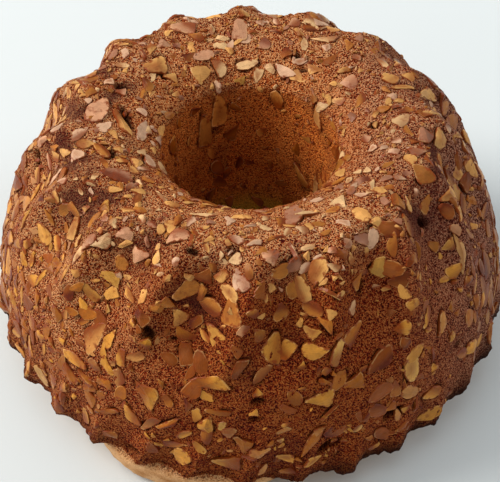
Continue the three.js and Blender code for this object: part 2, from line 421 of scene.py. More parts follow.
def new_tree(name, inputs):
    tree = bpy.data.node_groups.new(name, "GeometryNodeTree")
    tree.interface.new_socket("Geometry", in_out="INPUT", socket_type="NodeSocketGeometry")
    for label, kind in inputs:
        tree.interface.new_socket(label, in_out="INPUT", socket_type=kind)
    tree.interface.new_socket("Geometry", in_out="OUTPUT", socket_type="NodeSocketGeometry")
    return tree, add(tree, "NodeGroupInput").outputs


FLUTE_INPUTS = [("Flutes", "NodeSocketInt"), ("Ridge Rounding", "NodeSocketFloat"),
                ("Flute Depth", "NodeSocketFloat"), ("Flute Stands Out", "NodeSocketFloat"),
                ("Scallop Depth", "NodeSocketFloat"), ("Scallop Stands Out", "NodeSocketFloat")]
tree, given = new_tree("flute_the_ring", FLUTE_INPUTS)
along = add(tree, "GeometryNodeInputNamedAttribute", {"data_type": "FLOAT"}, {"Name": "along"})
share = add(tree, "GeometryNodeInputNamedAttribute", {"data_type": "FLOAT"}, {"Name": "round"})
outward = add(tree, "GeometryNodeInputNamedAttribute", {"data_type": "FLOAT_VECTOR"},
              {"Name": "outward"})
rounding = given["Ridge Rounding"]
squared = add(tree, "ShaderNodeMath", {"operation": "MULTIPLY"}, {0: rounding, 1: rounding})
top_square = add(tree, "ShaderNodeMath", {"operation": "ADD"}, {0: squared.outputs[0], 1: 1.0})
top_root = add(tree, "ShaderNodeMath", {"operation": "SQRT"}, {0: top_square.outputs[0]})
top = add(tree, "ShaderNodeMath", {"operation": "SUBTRACT"}, {0: top_root.outputs[0], 1: rounding})
hollows = []
for copies in (1, 2):
    count = add(tree, "ShaderNodeMath", {"operation": "MULTIPLY"},
                {0: given["Flutes"], 1: math.pi * copies})
    angle = add(tree, "ShaderNodeMath", {"operation": "MULTIPLY"},
                {0: share.outputs[0], 1: count.outputs[0]})
    wave = add(tree, "ShaderNodeMath", {"operation": "SINE"}, {0: angle.outputs[0]})
    wave_square = add(tree, "ShaderNodeMath", {"operation": "MULTIPLY_ADD"},
                      {0: wave.outputs[0], 1: wave.outputs[0], 2: squared.outputs[0]})
    root = add(tree, "ShaderNodeMath", {"operation": "SQRT"}, {0: wave_square.outputs[0]})
    rounded = add(tree, "ShaderNodeMath", {"operation": "SUBTRACT"},
                  {0: root.outputs[0], 1: rounding})
    hollows.append(add(tree, "ShaderNodeMath", {"operation": "DIVIDE"},
                       {0: rounded.outputs[0], 1: top.outputs[0]}))
ending = add(tree, "ShaderNodeMapRange", SMOOTH,
             {0: along.outputs[0], 1: SCALLOPS_END[0], 2: SCALLOPS_END[1], 3: 1.0, 4: 0.0})
begun = add(tree, "ShaderNodeMapRange", SMOOTH,
            {0: along.outputs[0], 1: FLUTES_BEGIN[0], 2: FLUTES_BEGIN[1], 3: 0.0, 4: 1.0})
fade = add(tree, "ShaderNodeMapRange", SMOOTH,
           {0: along.outputs[0], 1: FLUTES_FADE[0], 2: FLUTES_FADE[1], 3: 1.0, 4: 0.0})
main = add(tree, "ShaderNodeMath", {"operation": "MULTIPLY"},
           {0: given["Flute Depth"], 1: fade.outputs[0]})
main = add(tree, "ShaderNodeMath", {"operation": "MULTIPLY"},
           {0: main.outputs[0], 1: begun.outputs[0]})
scallop = add(tree, "ShaderNodeMath", {"operation": "MULTIPLY"},
              {0: given["Scallop Depth"], 1: ending.outputs[0]})
parts = []
for depth, hollow, stands_out in ((main, hollows[0], "Flute Stands Out"),
                                  (scallop, hollows[1], "Scallop Stands Out")):
    out = add(tree, "ShaderNodeMath", {"operation": "SUBTRACT"},
              {0: given[stands_out], 1: hollow.outputs[0]})
    parts.append(add(tree, "ShaderNodeMath", {"operation": "MULTIPLY"},
                     {0: depth.outputs[0], 1: out.outputs[0]}).outputs[0])
out = add(tree, "ShaderNodeMath", {"operation": "ADD"}, {0: parts[0], 1: parts[1]})
move = add(tree, "ShaderNodeVectorMath", {"operation": "SCALE"},
           {0: outward.outputs[0], "Scale": out.outputs[0]})
moved = add(tree, "GeometryNodeSetPosition", None,
            {"Geometry": given["Geometry"], "Offset": move.outputs[0]})
add(tree, "NodeGroupOutput", None, {"Geometry": moved.outputs[0]})
print("the flute tree has", len(tree.nodes), "nodes")


# %% The tree run on the ring
def run_tree(piece, tree, values):
    modifier = piece.modifiers.new(tree.name, "NODES")
    modifier.node_group = tree
    for item in tree.interface.items_tree:
        if item.in_out == "INPUT" and item.name in values:
            modifier[item.identifier] = values[item.name]
    piece.update_tag()
    bpy.context.view_layer.update()
    made = bpy.data.meshes.new_from_object(piece.evaluated_get(bpy.context.evaluated_depsgraph_get()))
    piece.modifiers.remove(modifier)
    made.name = piece.data.name
    piece.data = made
    return made


fluted = run_tree(cake, tree, {"Flutes": FLUTES, "Ridge Rounding": 0.25,
                               "Flute Depth": 8 * MM, "Flute Stands Out": 0.13,
                               "Scallop Depth": 4 * MM, "Scallop Stands Out": 0.35})
fluted_places = np.empty(len(fluted.vertices) * 3)
fluted.vertices.foreach_get("co", fluted_places)
fluted_places = fluted_places.reshape(-1, 3) / MM
print("fluted ring reaches", fluted_places.min(0).round(1), fluted_places.max(0).round(1), "mm")

# %% [markdown]
# ## Almond slices
# Flaked almonds are slices about a millimetre thick. Whole ones are drop-shaped; most break. They
# could be drawn one by one, but a rule gives many shapes: a drop, cut by up to four straight
# breaks, its corners softened, stretched to fill a unit square and made a thin slab with an edge.
# Sizes come later, when the slices are laid. A slice carries its own flat coordinates and its
# distance from the edge, so its colour can follow its shape. With hundreds of each, a shape has
# only a few dozen faces.

# %% Outline of a whole slice, and a break across it
SLICE_CORNERS = 12


def drop_outline(draw):
    angle = np.linspace(0, 2 * math.pi, 8 * SLICE_CORNERS, endpoint=False)
    taper = draw.uniform(0.15, 0.4)
    width = draw.uniform(0.5, 0.66)
    bend = draw.uniform(-0.07, 0.07)
    x = 0.5 * np.cos(angle)
    y = 0.5 * width * np.sin(angle) * (1 - taper * np.cos(angle))
    y = y + bend * (1 - 4 * x * x)
    dent = 1 + draw.uniform(0.0, 0.06) * np.sin(3 * angle + draw.uniform(0, 6))
    dent = dent + draw.uniform(0.0, 0.05) * np.sin(5 * angle + draw.uniform(0, 6))
    return np.stack([x * dent, y * dent], axis=1)


def break_off(outline, direction, keep):
    side = outline @ direction - keep
    kept = []
    for i in range(len(outline)):
        j = (i + 1) % len(outline)
        if side[i] <= 0:
            kept.append(outline[i])
        if side[i] * side[j] < 0:
            kept.append(outline[i] + (outline[j] - outline[i]) * side[i] / (side[i] - side[j]))
    return np.array(kept)


print("a whole slice is drawn with", len(drop_outline(np.random.default_rng(0))), "points")

# %% Outline of any slice
CORNER_SOFTENING = 4
MOST_BREAKS, BREAK_AT, BREAK_TURN = 4, (0.07, 0.2), 0.6
UNEVEN = 0.012


def with_corners(outline, corners):
    while len(outline) < corners:
        sides = np.linalg.norm(np.roll(outline, -1, axis=0) - outline, axis=1)
        i = int(sides.argmax())
        outline = np.insert(outline, i + 1, (outline[i] + outline[(i + 1) % len(outline)]) / 2, axis=0)
    while len(outline) > corners:
        to_last = np.roll(outline, 1, axis=0) - outline
        to_next = np.roll(outline, -1, axis=0) - outline
        matters = np.abs(to_last[:, 0] * to_next[:, 1] - to_last[:, 1] * to_next[:, 0])
        outline = np.delete(outline, matters.argmin(), axis=0)
    return outline


def fill_unit_box(outline):
    apart = np.linalg.norm(outline[:, None] - outline[None], axis=2)
    a, b = np.unravel_index(apart.argmax(), apart.shape)
    along_it = (outline[b] - outline[a]) / apart[a, b]
    turned = np.stack([outline @ along_it, outline @ np.array([-along_it[1], along_it[0]])], axis=1)
    low, high = turned.min(axis=0), turned.max(axis=0)
    return (turned - (low + high) / 2) / (high - low)


def slice_outline(broken, draw):
    outline = drop_outline(draw)
    breaks = int(draw.integers(1, MOST_BREAKS + 1)) if broken else 0
    first = draw.uniform(0, 2 * math.pi)
    for k in range(breaks):
        turn = first + 2 * math.pi * k / breaks + draw.uniform(-BREAK_TURN, BREAK_TURN)
        direction = np.array([math.cos(turn), math.sin(turn)])
        outline = break_off(outline, direction, draw.uniform(*BREAK_AT))
    outline = with_corners(outline, 4 * SLICE_CORNERS)
    for _ in range(CORNER_SOFTENING):
        outline = (np.roll(outline, 1, axis=0) + 2 * outline + np.roll(outline, -1, axis=0)) / 4
    outline = with_corners(outline, SLICE_CORNERS)
    return fill_unit_box(outline + draw.normal(0, UNEVEN, outline.shape))


print("a broken one has", len(slice_outline(True, np.random.default_rng(0))), "corners left")

# %% Slices as thin slabs, each ring of points with its width, its height and how near the edge it is
SLAB_RINGS = [(1.0, -0.5, 1), (1.0, 0.3, 1), (0.92, 0.5, 0.8)]
CUPPING = (-0.1, 0.7)
WHOLE_SHAPES, BROKEN_SHAPES = 8, 18
shape_draws = np.random.default_rng(11)


def slice_mesh(name, outline, draw):
    cup = draw.uniform(*CUPPING)
    points = [np.column_stack([outline * s, np.full(SLICE_CORNERS, z)]) for s, z, _ in SLAB_RINGS]
    places = np.vstack(points + [[[0, 0, -0.5]], [[0, 0, 0.5]]])
    places[:, 2] += cup * (1 - 4 * (places[:, :2] ** 2).sum(axis=1))
    edge = np.concatenate([np.full(SLICE_CORNERS, e) for _, _, e in SLAB_RINGS] + [[0, 0]])
    faces = []
    under, over = 3 * SLICE_CORNERS, 3 * SLICE_CORNERS + 1
    for i in range(SLICE_CORNERS):
        j = (i + 1) % SLICE_CORNERS
        faces.append((under, j, i))
        for ring in (0, SLICE_CORNERS):
            faces.append((ring + i, ring + j, ring + SLICE_CORNERS + j, ring + SLICE_CORNERS + i))
        faces.append((2 * SLICE_CORNERS + i, 2 * SLICE_CORNERS + j, over))
    mesh = bpy.data.meshes.new(name)
    mesh.from_pydata(places.tolist(), [], faces)
    set_attribute(mesh, "edge", "FLOAT", edge)
    set_attribute(mesh, "slice_place", "FLOAT_VECTOR", places)
    return mesh


slice_shapes = bpy.data.collections.new("slice_shapes")
for shape in range(WHOLE_SHAPES + BROKEN_SHAPES):
    label = "slice_%02d" % shape
    outline = slice_outline(shape >= WHOLE_SHAPES, shape_draws)
    slice_shapes.objects.link(bpy.data.objects.new(label, slice_mesh(label, outline, shape_draws)))

# %% [markdown]
# ## Where the slices lie
# The slices were scattered in a greased tin, so they lie flat against the tin's wall all over the
# crust and, fewer, down the hole. A scatter node could place them, but it keeps all its points the
# same distance apart. So a loop lays them one at a time, big ones first, then smaller ones in the
# spaces, each kept clear by its own size. A few stand on edge and show only as slivers.

# %% Spots of the crust where a slice may lie
def grid_spots(place, reach):
    ahead = np.minimum(np.arange(len(place)) + reach, len(place) - 1)
    back = np.maximum(np.arange(len(place)) - reach, 0)
    upward = place[ahead] - place[back]
    side = np.roll(place, -reach, axis=1) - np.roll(place, reach, axis=1)
    normal = np.cross(side, upward)
    area = np.linalg.norm(normal, axis=-1) / (ahead - back)[:, None]
    upward = upward / np.linalg.norm(upward, axis=-1, keepdims=True)
    normal = normal / np.linalg.norm(normal, axis=-1, keepdims=True)
    return upward, normal, area


SPOT_REACH = 3
crust_grid = fluted_places[:crust_count].reshape(crust_place.shape)
hole_grid = fluted_places[crust_count:crust_count + HOLE_ROWS * under_columns]
hole_grid = hole_grid.reshape(HOLE_ROWS, under_columns, 3)
crust_spots = grid_spots(crust_grid, SPOT_REACH)
hole_spots = grid_spots(hole_grid, 1)
spot_place = np.concatenate([crust_grid.reshape(-1, 3), hole_grid.reshape(-1, 3)])
spot_up, spot_normal = (np.concatenate([crust_spots[k].reshape(-1, 3), hole_spots[k].reshape(-1, 3)])
                        for k in (0, 1))
crust_area = crust_spots[2] / (2 * SPOT_REACH)
hole_area = hole_spots[2] / 2
spot_area = np.concatenate([crust_area.ravel(), hole_area.ravel()])
spot_along = np.concatenate([crust_along.ravel(), under_along[:HOLE_ROWS].ravel()])
spot_azimuth = np.arctan2(spot_place[:, 0], -spot_place[:, 1])
print("spots:", len(spot_place))

# %% How thickly the slices lie: the crest, the left, the front, the hole and scorched patches
CREST_SHARE, LEFT_SHARE, FRONT_SHARE, HOLE_SHARE = 2.6, 1.5, 0.45, 0.3
CLUMPING, SCORCH_CLEAR = 0.8, 0.8
CREST_FROM, CREST_TO, HOLE_FROM, RIM_BARE = (0.6, 0.9), (1.2, 1.5), (1.9, 2.1), (0.03, 0.12)
THICK_LEFT, THIN_FRONT = (-80, 50), (15, 50)

above_shoulder = smooth(spot_along, *CREST_FROM)
share = 1 + (CREST_SHARE - 1) * above_shoulder * (1 - smooth(spot_along, *CREST_TO))
share = share * (1 - (1 - HOLE_SHARE) * smooth(spot_along, *HOLE_FROM))
share = share * (1 + (LEFT_SHARE - 1) * window(spot_azimuth, *THICK_LEFT))
share = share * (1 - (1 - FRONT_SHARE) * window(spot_azimuth, *THIN_FRONT) * (1 - above_shoulder))
share = share * smooth(spot_along, *RIM_BARE)
share = share * (1 - SCORCH_CLEAR * scorch[:len(share)])
clumps = np.sin(5 * spot_azimuth + 4 * spot_along) * np.sin(9 * spot_azimuth - 7 * spot_along + 1)
spot_weight = spot_area * share * (1 + CLUMPING * clumps)
spot_weight = spot_weight / spot_weight.sum()
print("share of the slices on the crest:", round(spot_weight[above_shoulder > 0.5].sum(), 2))

# %% Tones of toasted almond, some with a painted sheen of the sky
# Pink, rose and mauve are almond tones with a painted bluish sheen of the sky, more of them on the
# crest.
TONES = {"cream": "#cfa573", "gold": "#cb9350", "ochre": "#a46425", "rust": "#8a4815",
         "pink_with_sheen": "#bb8663", "rose_with_sheen": "#c59a79", "mauve_with_sheen": "#9c684c", "olive": "#bb863c"}
LOW_TONES = ["gold", "gold", "gold", "ochre", "ochre", "ochre", "rust", "rust", "pink_with_sheen"]
TOP_TONES = ["ochre", "rose_with_sheen", "gold", "gold", "gold", "cream", "ochre", "rust", "mauve_with_sheen"]
print("tones:", len(TONES))

# %% [markdown]
# ### Slices placed one by one
# The slices that stand out in the photograph are placed one by one, because a scatter alone would
# make some other cake. Each row gives the slice's two ends, as degrees round from the front and as a
# place along the section, then its width in millimetres and its tone.

# %% Slices on the crest and round the mouth of the hole
CREST_SLICES = [
    (-152.5, 0.99, -159, 1.17, 9, "pink_with_sheen"), (-165, 1.1, -164, 1.25, 3, "cream"),
    (-128, 1.30, -139.5, 1.37, 10, "gold"), (-151.5, 1.42, -163, 1.42, 5.5, "pink_with_sheen"),
    (-146, 1.55, -156, 1.66, 9.5, "gold"), (-163, 1.47, -163.5, 1.72, 5.5, "cream"),
    (-105, 1.21, -91.5, 1.10, 10, "pink_with_sheen"), (-100, 1.29, -86, 1.48, 4.5, "gold"),
    (-102, 1.60, -85, 1.55, 5.5, "rose_with_sheen"), (-100, 1.67, -92, 1.67, 4, "cream"),
    (-129, 1.65, -133, 1.72, 3, "gold"), (-122.5, 1.07, -125.5, 1.20, 3, "cream"),
    (-131.5, 1.02, -126.5, 1.12, 4, "rose_with_sheen"), (-129, 1.00, -124, 0.99, 4, "mauve_with_sheen"),
    (-113, 1.10, -114.5, 1.20, 5, "rose_with_sheen"), (-112, 1.24, -110.5, 1.33, 5, "pink_with_sheen"),
    (-104, 1.03, -107, 1.10, 6, "ochre"), (-101, 1.05, -102, 1.12, 3.5, "rose_with_sheen"),
    (-141, 1.15, -147, 1.19, 5, "pink_with_sheen"), (-146, 1.24, -149, 1.24, 4, "mauve_with_sheen"),
    (-81.5, 1.00, -86.5, 1.10, 5, "rose_with_sheen"), (-79.5, 1.16, -71, 1.24, 4.5, "ochre"),
    (-79.5, 1.20, -79, 1.29, 2.2, "gold"), (-76.5, 1.31, -75, 1.38, 4.5, "gold"),
    (-77, 1.53, -75, 1.60, 4.5, "cream"), (-75, 1.61, -63.5, 1.63, 4.5, "rose_with_sheen"),
    (-77.5, 0.97, -73, 1.05, 7, "rose_with_sheen"), (-65.5, 1.14, -55.5, 1.34, 8, "mauve_with_sheen"),
    (-174.5, 1.08, -176.5, 1.34, 9, "pink_with_sheen"), (-176, 0.98, -179, 1.08, 5, "gold"),
    (178, 1.13, 173.5, 1.15, 4.5, "rose_with_sheen"), (175.5, 1.30, 172, 1.42, 6.5, "mauve_with_sheen"),
    (165, 1.05, 161.5, 1.15, 5.5, "pink_with_sheen"), (154.5, 1.25, 144.5, 1.10, 4.5, "cream"),
    (157, 1.22, 154.5, 1.37, 3.5, "cream"), (148, 1.25, 144.5, 1.25, 4.5, "rose_with_sheen"),
    (134.5, 1.41, 130.5, 1.31, 3, "gold"), (128.5, 1.47, 122, 1.37, 8.5, "pink_with_sheen"),
    (128, 1.28, 125, 1.27, 3, "gold"), (135, 1.20, 130.5, 1.19, 3.5, "mauve_with_sheen"),
    (140, 1.02, 136.5, 1.03, 4.5, "mauve_with_sheen"), (-172, 1.61, 175.3, 1.56, 4.5, "cream"),
    (167, 1.58, 152.5, 1.66, 5.5, "rose_with_sheen"), (165, 1.45, 160, 1.40, 6, "rust"),
    (-172, 1.75, -176, 1.80, 5, "olive"), (118, 1.20, 113, 1.08, 6, "gold"),
    (111, 1.20, 108.5, 1.00, 2.5, "gold"), (92.5, 1.29, 91, 1.13, 8, "cream"),
    (108.5, 1.58, 100.5, 1.61, 5, "mauve_with_sheen"), (88, 1.05, 81.5, 1.00, 9, "mauve_with_sheen"),
    (75.5, 1.47, 78.5, 1.38, 4, "rose_with_sheen"), (77.5, 1.36, 75.5, 1.30, 4, "rose_with_sheen"),
    (76, 1.28, 72.5, 1.20, 5, "rose_with_sheen"), (81, 1.28, 80.5, 1.19, 4, "rose_with_sheen"),
    (78, 1.11, 74, 1.04, 7, "mauve_with_sheen"), (73.5, 1.15, 69.5, 1.05, 5, "gold"),
    (67.5, 1.07, 66.5, 0.84, 8, "ochre"), (64, 1.42, 60.5, 1.36, 3.5, "cream"),
    (60.5, 1.50, 60.5, 1.43, 3, "cream"), (88, 1.52, 81.5, 1.47, 5, "pink_with_sheen"),
    (94, 1.43, 92, 1.40, 3, "gold"), (55.5, 1.00, 53, 0.84, 3.2, "gold"),
    (53, 1.09, 50, 0.92, 6, "ochre"), (49, 1.10, 48.5, 1.03, 4, "mauve_with_sheen"),
    (38, 1.38, 41, 1.28, 7.5, "cream"), (39.5, 1.20, 39.5, 1.02, 6.5, "gold"),
    (42, 1.03, 40.5, 0.95, 5, "gold"), (31, 1.17, 34, 1.06, 4.5, "rose_with_sheen"),
    (30, 1.55, 36.5, 1.47, 4, "rose_with_sheen"), (19, 1.42, 29, 1.31, 3, "cream"),
    (25, 1.60, 15, 1.24, 8, "mauve_with_sheen"), (-26, 1.00, -21, 1.13, 8, "pink_with_sheen"),
    (-48.5, 0.92, -45.5, 0.88, 4, "mauve_with_sheen"), (-4.5, 1.03, -3.5, 0.90, 5.5, "cream"),
    (1, 1.03, 6.5, 0.99, 5, "ochre"), (-17, 1.31, -14, 1.27, 4, "mauve_with_sheen"),
    (-9, 1.45, -8, 1.28, 5, "rose_with_sheen"), (-25, 1.33, -15, 1.42, 3, "cream"),
    (-38, 1.33, -31, 1.38, 4, "gold"), (-44, 1.40, -37, 1.37, 2.5, "cream"),
    (-7, 1.17, -2, 1.12, 4, "rose_with_sheen"), (3, 1.31, 8, 1.22, 3, "cream"),
    (8.5, 1.46, 5.5, 1.36, 3.5, "cream"), (-1, 1.09, 4, 1.12, 3.5, "rose_with_sheen"),
    (163, 1.95, 160, 2.12, 6, "gold"), (133, 1.92, 124, 2.12, 4.5, "cream"),
    (-160, 2.00, -157, 2.20, 8, "gold"), (-143, 2.12, -147, 2.28, 9, "gold"),
    (-168, 2.22, -164, 2.32, 7, "ochre"), (146, 2.38, 128, 2.52, 5, "gold"),
    (122, 2.36, 112, 2.58, 4.5, "cream"), (114, 2.30, 106, 2.48, 4, "gold"),
    (152, 2.66, 140, 2.72, 8, "ochre"), (-150, 2.42, -156, 2.50, 6, "rust"),
]
print("on the crest and in the hole:", len(CREST_SLICES))

# %% Slices on the left side
LEFT_SLICES = [
    (-66.5, 0.61, -62.5, 0.54, 7.5, "gold"), (-56, 0.77, -57.5, 0.62, 7, "gold"),
    (-66.5, 0.68, -62.5, 0.63, 3, "ochre"), (-59.8, 0.70, -59, 0.65, 3, "ochre"),
    (-45.5, 0.72, -40.5, 0.83, 6.5, "cream"), (-40.5, 0.85, -36, 0.94, 6.5, "pink_with_sheen"),
    (-39, 0.80, -35.5, 0.88, 3, "gold"), (-47.5, 0.62, -48, 0.71, 5.5, "cream"),
    (-37, 0.77, -36, 0.69, 6, "ochre"), (-32.5, 0.86, -31.5, 0.77, 8, "pink_with_sheen"),
    (-41, 0.665, -35.5, 0.63, 7.5, "olive"), (-38, 0.67, -36, 0.67, 4, "rose_with_sheen"),
    (-39.5, 0.575, -35, 0.59, 6.5, "gold"), (-26.5, 0.69, -27.5, 0.61, 5, "gold"),
    (-27, 0.62, -24.5, 0.55, 8, "rust"), (-23, 0.66, -18.5, 0.66, 6, "ochre"),
    (-24.5, 0.63, -20.5, 0.63, 4, "ochre"), (-20, 0.61, -16, 0.58, 8, "gold"),
    (-22.5, 0.76, -20.5, 0.76, 4, "gold"), (-37, 0.54, -36.5, 0.51, 2.5, "cream"),
    (-37, 0.485, -39, 0.37, 9, "pink_with_sheen"), (-32.5, 0.49, -34, 0.42, 5, "gold"),
    (-45, 0.32, -37.5, 0.31, 6, "gold"), (-37.5, 0.36, -33.5, 0.33, 4.5, "mauve_with_sheen"),
    (-29.8, 0.45, -28.5, 0.39, 5.5, "gold"), (-25.5, 0.50, -22.8, 0.49, 5.5, "olive"),
    (-46.5, 0.355, -44.5, 0.345, 4, "gold"), (-50, 0.45, -47.5, 0.40, 6, "ochre"),
    (-48, 0.60, -45, 0.60, 4, "gold"), (-29, 0.54, -27.5, 0.55, 4, "gold"),
    (-58.8, 0.49, -59.5, 0.42, 3.5, "gold"), (-49.5, 0.59, -49.5, 0.53, 3, "gold"),
    (-69, 0.45, -65.5, 0.42, 4, "gold"), (-65.5, 0.48, -63.5, 0.44, 3, "gold"),
    (-53, 0.16, -51.3, 0.06, 7, "rose_with_sheen"), (-69.5, 0.28, -65.5, 0.25, 5, "gold"),
    (-51, 0.28, -51, 0.23, 2.5, "gold"), (-24, 0.37, -19.3, 0.275, 9, "gold"),
    (-28, 0.25, -24, 0.19, 6, "gold"), (-16, 0.07, -12.3, 0.13, 9, "gold"),
    (-23.5, 0.19, -19, 0.25, 4, "mauve_with_sheen"), (-20, 0.205, -14.5, 0.265, 3, "ochre"),
    (-32, 0.10, -29.5, 0.07, 6, "ochre"), (-37, 0.04, -33.5, 0.04, 4, "rust"),
    (-21.5, 0.15, -20, 0.08, 5, "rust"), (-34, 0.18, -28.5, 0.22, 2.5, "ochre"),
    (-18.5, 0.34, -16.5, 0.30, 4, "ochre"), (-72, 0.62, -71, 0.50, 2.5, "gold"),
    (-76, 0.78, -75, 0.70, 4, "rose_with_sheen"), (-70, 0.80, -66, 0.86, 3.5, "rose_with_sheen"),
    (-83, 0.60, -81, 0.52, 3, "gold"), (-104, 0.82, -102, 0.74, 3.5, "gold"),
    (-97, 0.86, -95, 0.78, 3.5, "gold"), (-52, 0.99, -49, 1.03, 6, "olive"),
    (-80, 0.72, -77, 0.66, 4, "gold"), (-64, 0.36, -62, 0.30, 3, "gold"),
]
print("on the left side:", len(LEFT_SLICES))

# %% Slices on the front and the right side
FRONT_SLICES = [
    (-7, 0.88, -8.8, 0.78, 6, "gold"), (-14.5, 0.83, -10, 0.78, 8, "rust"),
    (-20, 0.70, -13, 0.76, 8, "ochre"), (-18, 0.79, -15, 0.78, 3, "gold"),
    (-21, 0.82, -19.8, 0.88, 3.5, "rose_with_sheen"), (-5.2, 0.725, -4, 0.60, 10, "ochre"),
    (-5.5, 0.665, -3.8, 0.665, 3.5, "gold"), (-11.5, 0.585, -3.5, 0.51, 8, "gold"),
    (-12, 0.57, -9.5, 0.53, 3, "gold"), (-17, 0.51, -13.5, 0.45, 8, "rust"),
    (4.5, 0.95, 7.5, 0.95, 8, "pink_with_sheen"), (4.8, 0.79, 1.5, 0.72, 6, "rust"),
    (6, 0.79, 5.7, 0.74, 4.5, "gold"), (5.5, 0.635, 9.7, 0.66, 7, "ochre"),
    (1.3, 0.60, 3, 0.555, 6, "ochre"), (6, 0.57, 4.5, 0.465, 9, "gold"),
    (6.3, 0.49, 11, 0.53, 7, "gold"), (28.5, 0.98, 29, 0.88, 5, "pink_with_sheen"),
    (25, 0.91, 27, 0.82, 6, "rust"), (28, 0.83, 29.3, 0.80, 4.5, "gold"),
    (20.8, 0.83, 24, 0.79, 3.5, "cream"), (22.5, 0.90, 24.8, 0.91, 4, "pink_with_sheen"),
    (30.5, 0.74, 27.5, 0.67, 6, "ochre"), (27, 0.64, 24.8, 0.58, 5.5, "rose_with_sheen"),
    (17, 0.625, 19.5, 0.555, 5, "ochre"), (18.5, 0.64, 19.8, 0.61, 5, "gold"),
    (14, 0.59, 15.5, 0.54, 6.5, "gold"), (13.5, 0.81, 15, 0.67, 6, "gold"),
    (10, 0.76, 12.8, 0.71, 6.5, "ochre"), (28, 0.52, 21.5, 0.495, 7.5, "ochre"),
    (20.6, 0.53, 18.8, 0.44, 5.5, "cream"), (38, 0.76, 35, 0.67, 8, "olive"),
    (34.5, 0.475, 39, 0.46, 7, "gold"), (40, 0.90, 46, 0.84, 8.5, "rust"),
    (49.5, 0.87, 47.5, 0.75, 6, "ochre"), (63.5, 0.83, 58, 0.77, 5, "ochre"),
    (90, 0.89, 83.5, 0.82, 7, "gold"), (103, 0.87, 98.5, 0.80, 6, "gold"),
    (63, 0.62, 60, 0.45, 4, "rose_with_sheen"), (80, 0.44, 78, 0.38, 5, "ochre"),
    (45.5, 0.745, 47.5, 0.735, 3.5, "ochre"), (44.5, 0.585, 46.5, 0.60, 4, "gold"),
    (42.5, 0.545, 39, 0.52, 6, "gold"), (62, 0.585, 58, 0.565, 5, "gold"),
    (56.5, 0.65, 57.5, 0.58, 5, "ochre"), (54.5, 0.38, 53, 0.36, 4, "ochre"),
    (50, 0.335, 50.5, 0.30, 5, "gold"), (37.5, 0.36, 36.8, 0.27, 8, "cream"),
    (61, 0.24, 61.5, 0.20, 6, "mauve_with_sheen"), (-13.2, 0.42, -4.2, 0.41, 8, "gold"),
    (-4.7, 0.435, -0.3, 0.495, 6, "rust"), (11.7, 0.325, 18.7, 0.34, 9, "gold"),
    (8, 0.39, 11, 0.335, 6, "ochre"), (6.2, 0.33, 10, 0.31, 4, "rust"),
    (0.4, 0.385, 3, 0.39, 4.5, "gold"), (-0.2, 0.325, 2.2, 0.31, 4.5, "gold"),
    (-6.7, 0.25, -4.7, 0.28, 3.5, "cream"), (-6.5, 0.24, -2.5, 0.235, 6, "mauve_with_sheen"),
    (-7.7, 0.13, -1.4, 0.095, 9, "gold"), (-1.8, 0.235, -0.8, 0.16, 8, "ochre"),
    (5.8, 0.15, 9.6, 0.115, 5, "gold"), (10.5, 0.14, 15.3, 0.235, 5, "ochre"),
    (5.7, 0.21, 6.7, 0.205, 3, "cream"), (11, 0.455, 12, 0.455, 3.5, "gold"),
    (15.5, 0.43, 18, 0.44, 4, "ochre"), (-9.7, 0.31, -4, 0.31, 3, "ochre"),
    (0.2, 0.42, 5, 0.47, 4, "mauve_with_sheen"), (26.8, 0.36, 33.5, 0.425, 8, "rust"),
    (21, 0.385, 26, 0.345, 9, "ochre"), (25.2, 0.29, 32, 0.30, 8, "rust"),
    (30, 0.205, 32.8, 0.23, 5, "ochre"), (44.5, 0.28, 42.8, 0.25, 5, "gold"),
    (21.8, 0.19, 23.8, 0.21, 3, "rose_with_sheen"), (35.5, 0.43, 37, 0.41, 6, "rust"),
]
print("on the front and the right side:", len(FRONT_SLICES))

# %% Pits that show dark in the photograph: two ends, width and depth
PITS = [
    (-113.5, 1.22, -115, 1.28, 4, 3), (-102.5, 1.36, -94, 1.47, 3.5, 3),
    (-132.5, 1.45, -134.5, 1.47, 3, 2), (-6, 1.06, -3.5, 1.06, 3.5, 3),
    (-17.5, 0.96, -15.5, 0.95, 4, 2.5), (-27.3, 0.585, -23.3, 0.525, 5, 4),
    (-11.7, 0.375, -10.8, 0.36, 4, 3), (1, 0.355, 2.3, 0.355, 3.5, 3),
    (0.4, 0.29, 1.4, 0.288, 3, 3), (15, 0.145, 18.5, 0.155, 5, 4),
    (30.5, 0.185, 33, 0.19, 6, 4), (30.3, 0.68, 29.3, 0.645, 3, 2.5),
    (26.3, 0.60, 25.8, 0.58, 3, 2.5), (17.2, 0.585, 18.5, 0.555, 3, 3),
    (56.5, 0.755, 57, 0.72, 4, 3), (54.5, 1.07, 53.5, 0.97, 3, 3),
    (52, 0.275, 52.6, 0.265, 3, 2), (15.8, 0.405, 18.3, 0.41, 3, 3),
    (-173, 1.555, 180, 1.545, 2, 2.5), (158, 1.42, 156, 1.43, 4, 2.5),
    (153, 1.55, 149, 1.53, 2.5, 2), (89, 1.50, 87, 1.47, 2.5, 2),
    (94.5, 1.45, 92.5, 1.43, 3, 2.5), (-88, 0.68, -86, 0.62, 3.5, 3),
    (-76.5, 1.24, -72, 1.30, 4, 3), (-27, 0.04, -24, 0.06, 3, 2.5),
    (-18.2, 0.525, -17.8, 0.515, 2.5, 2),
]
print("pits:", len(PITS))


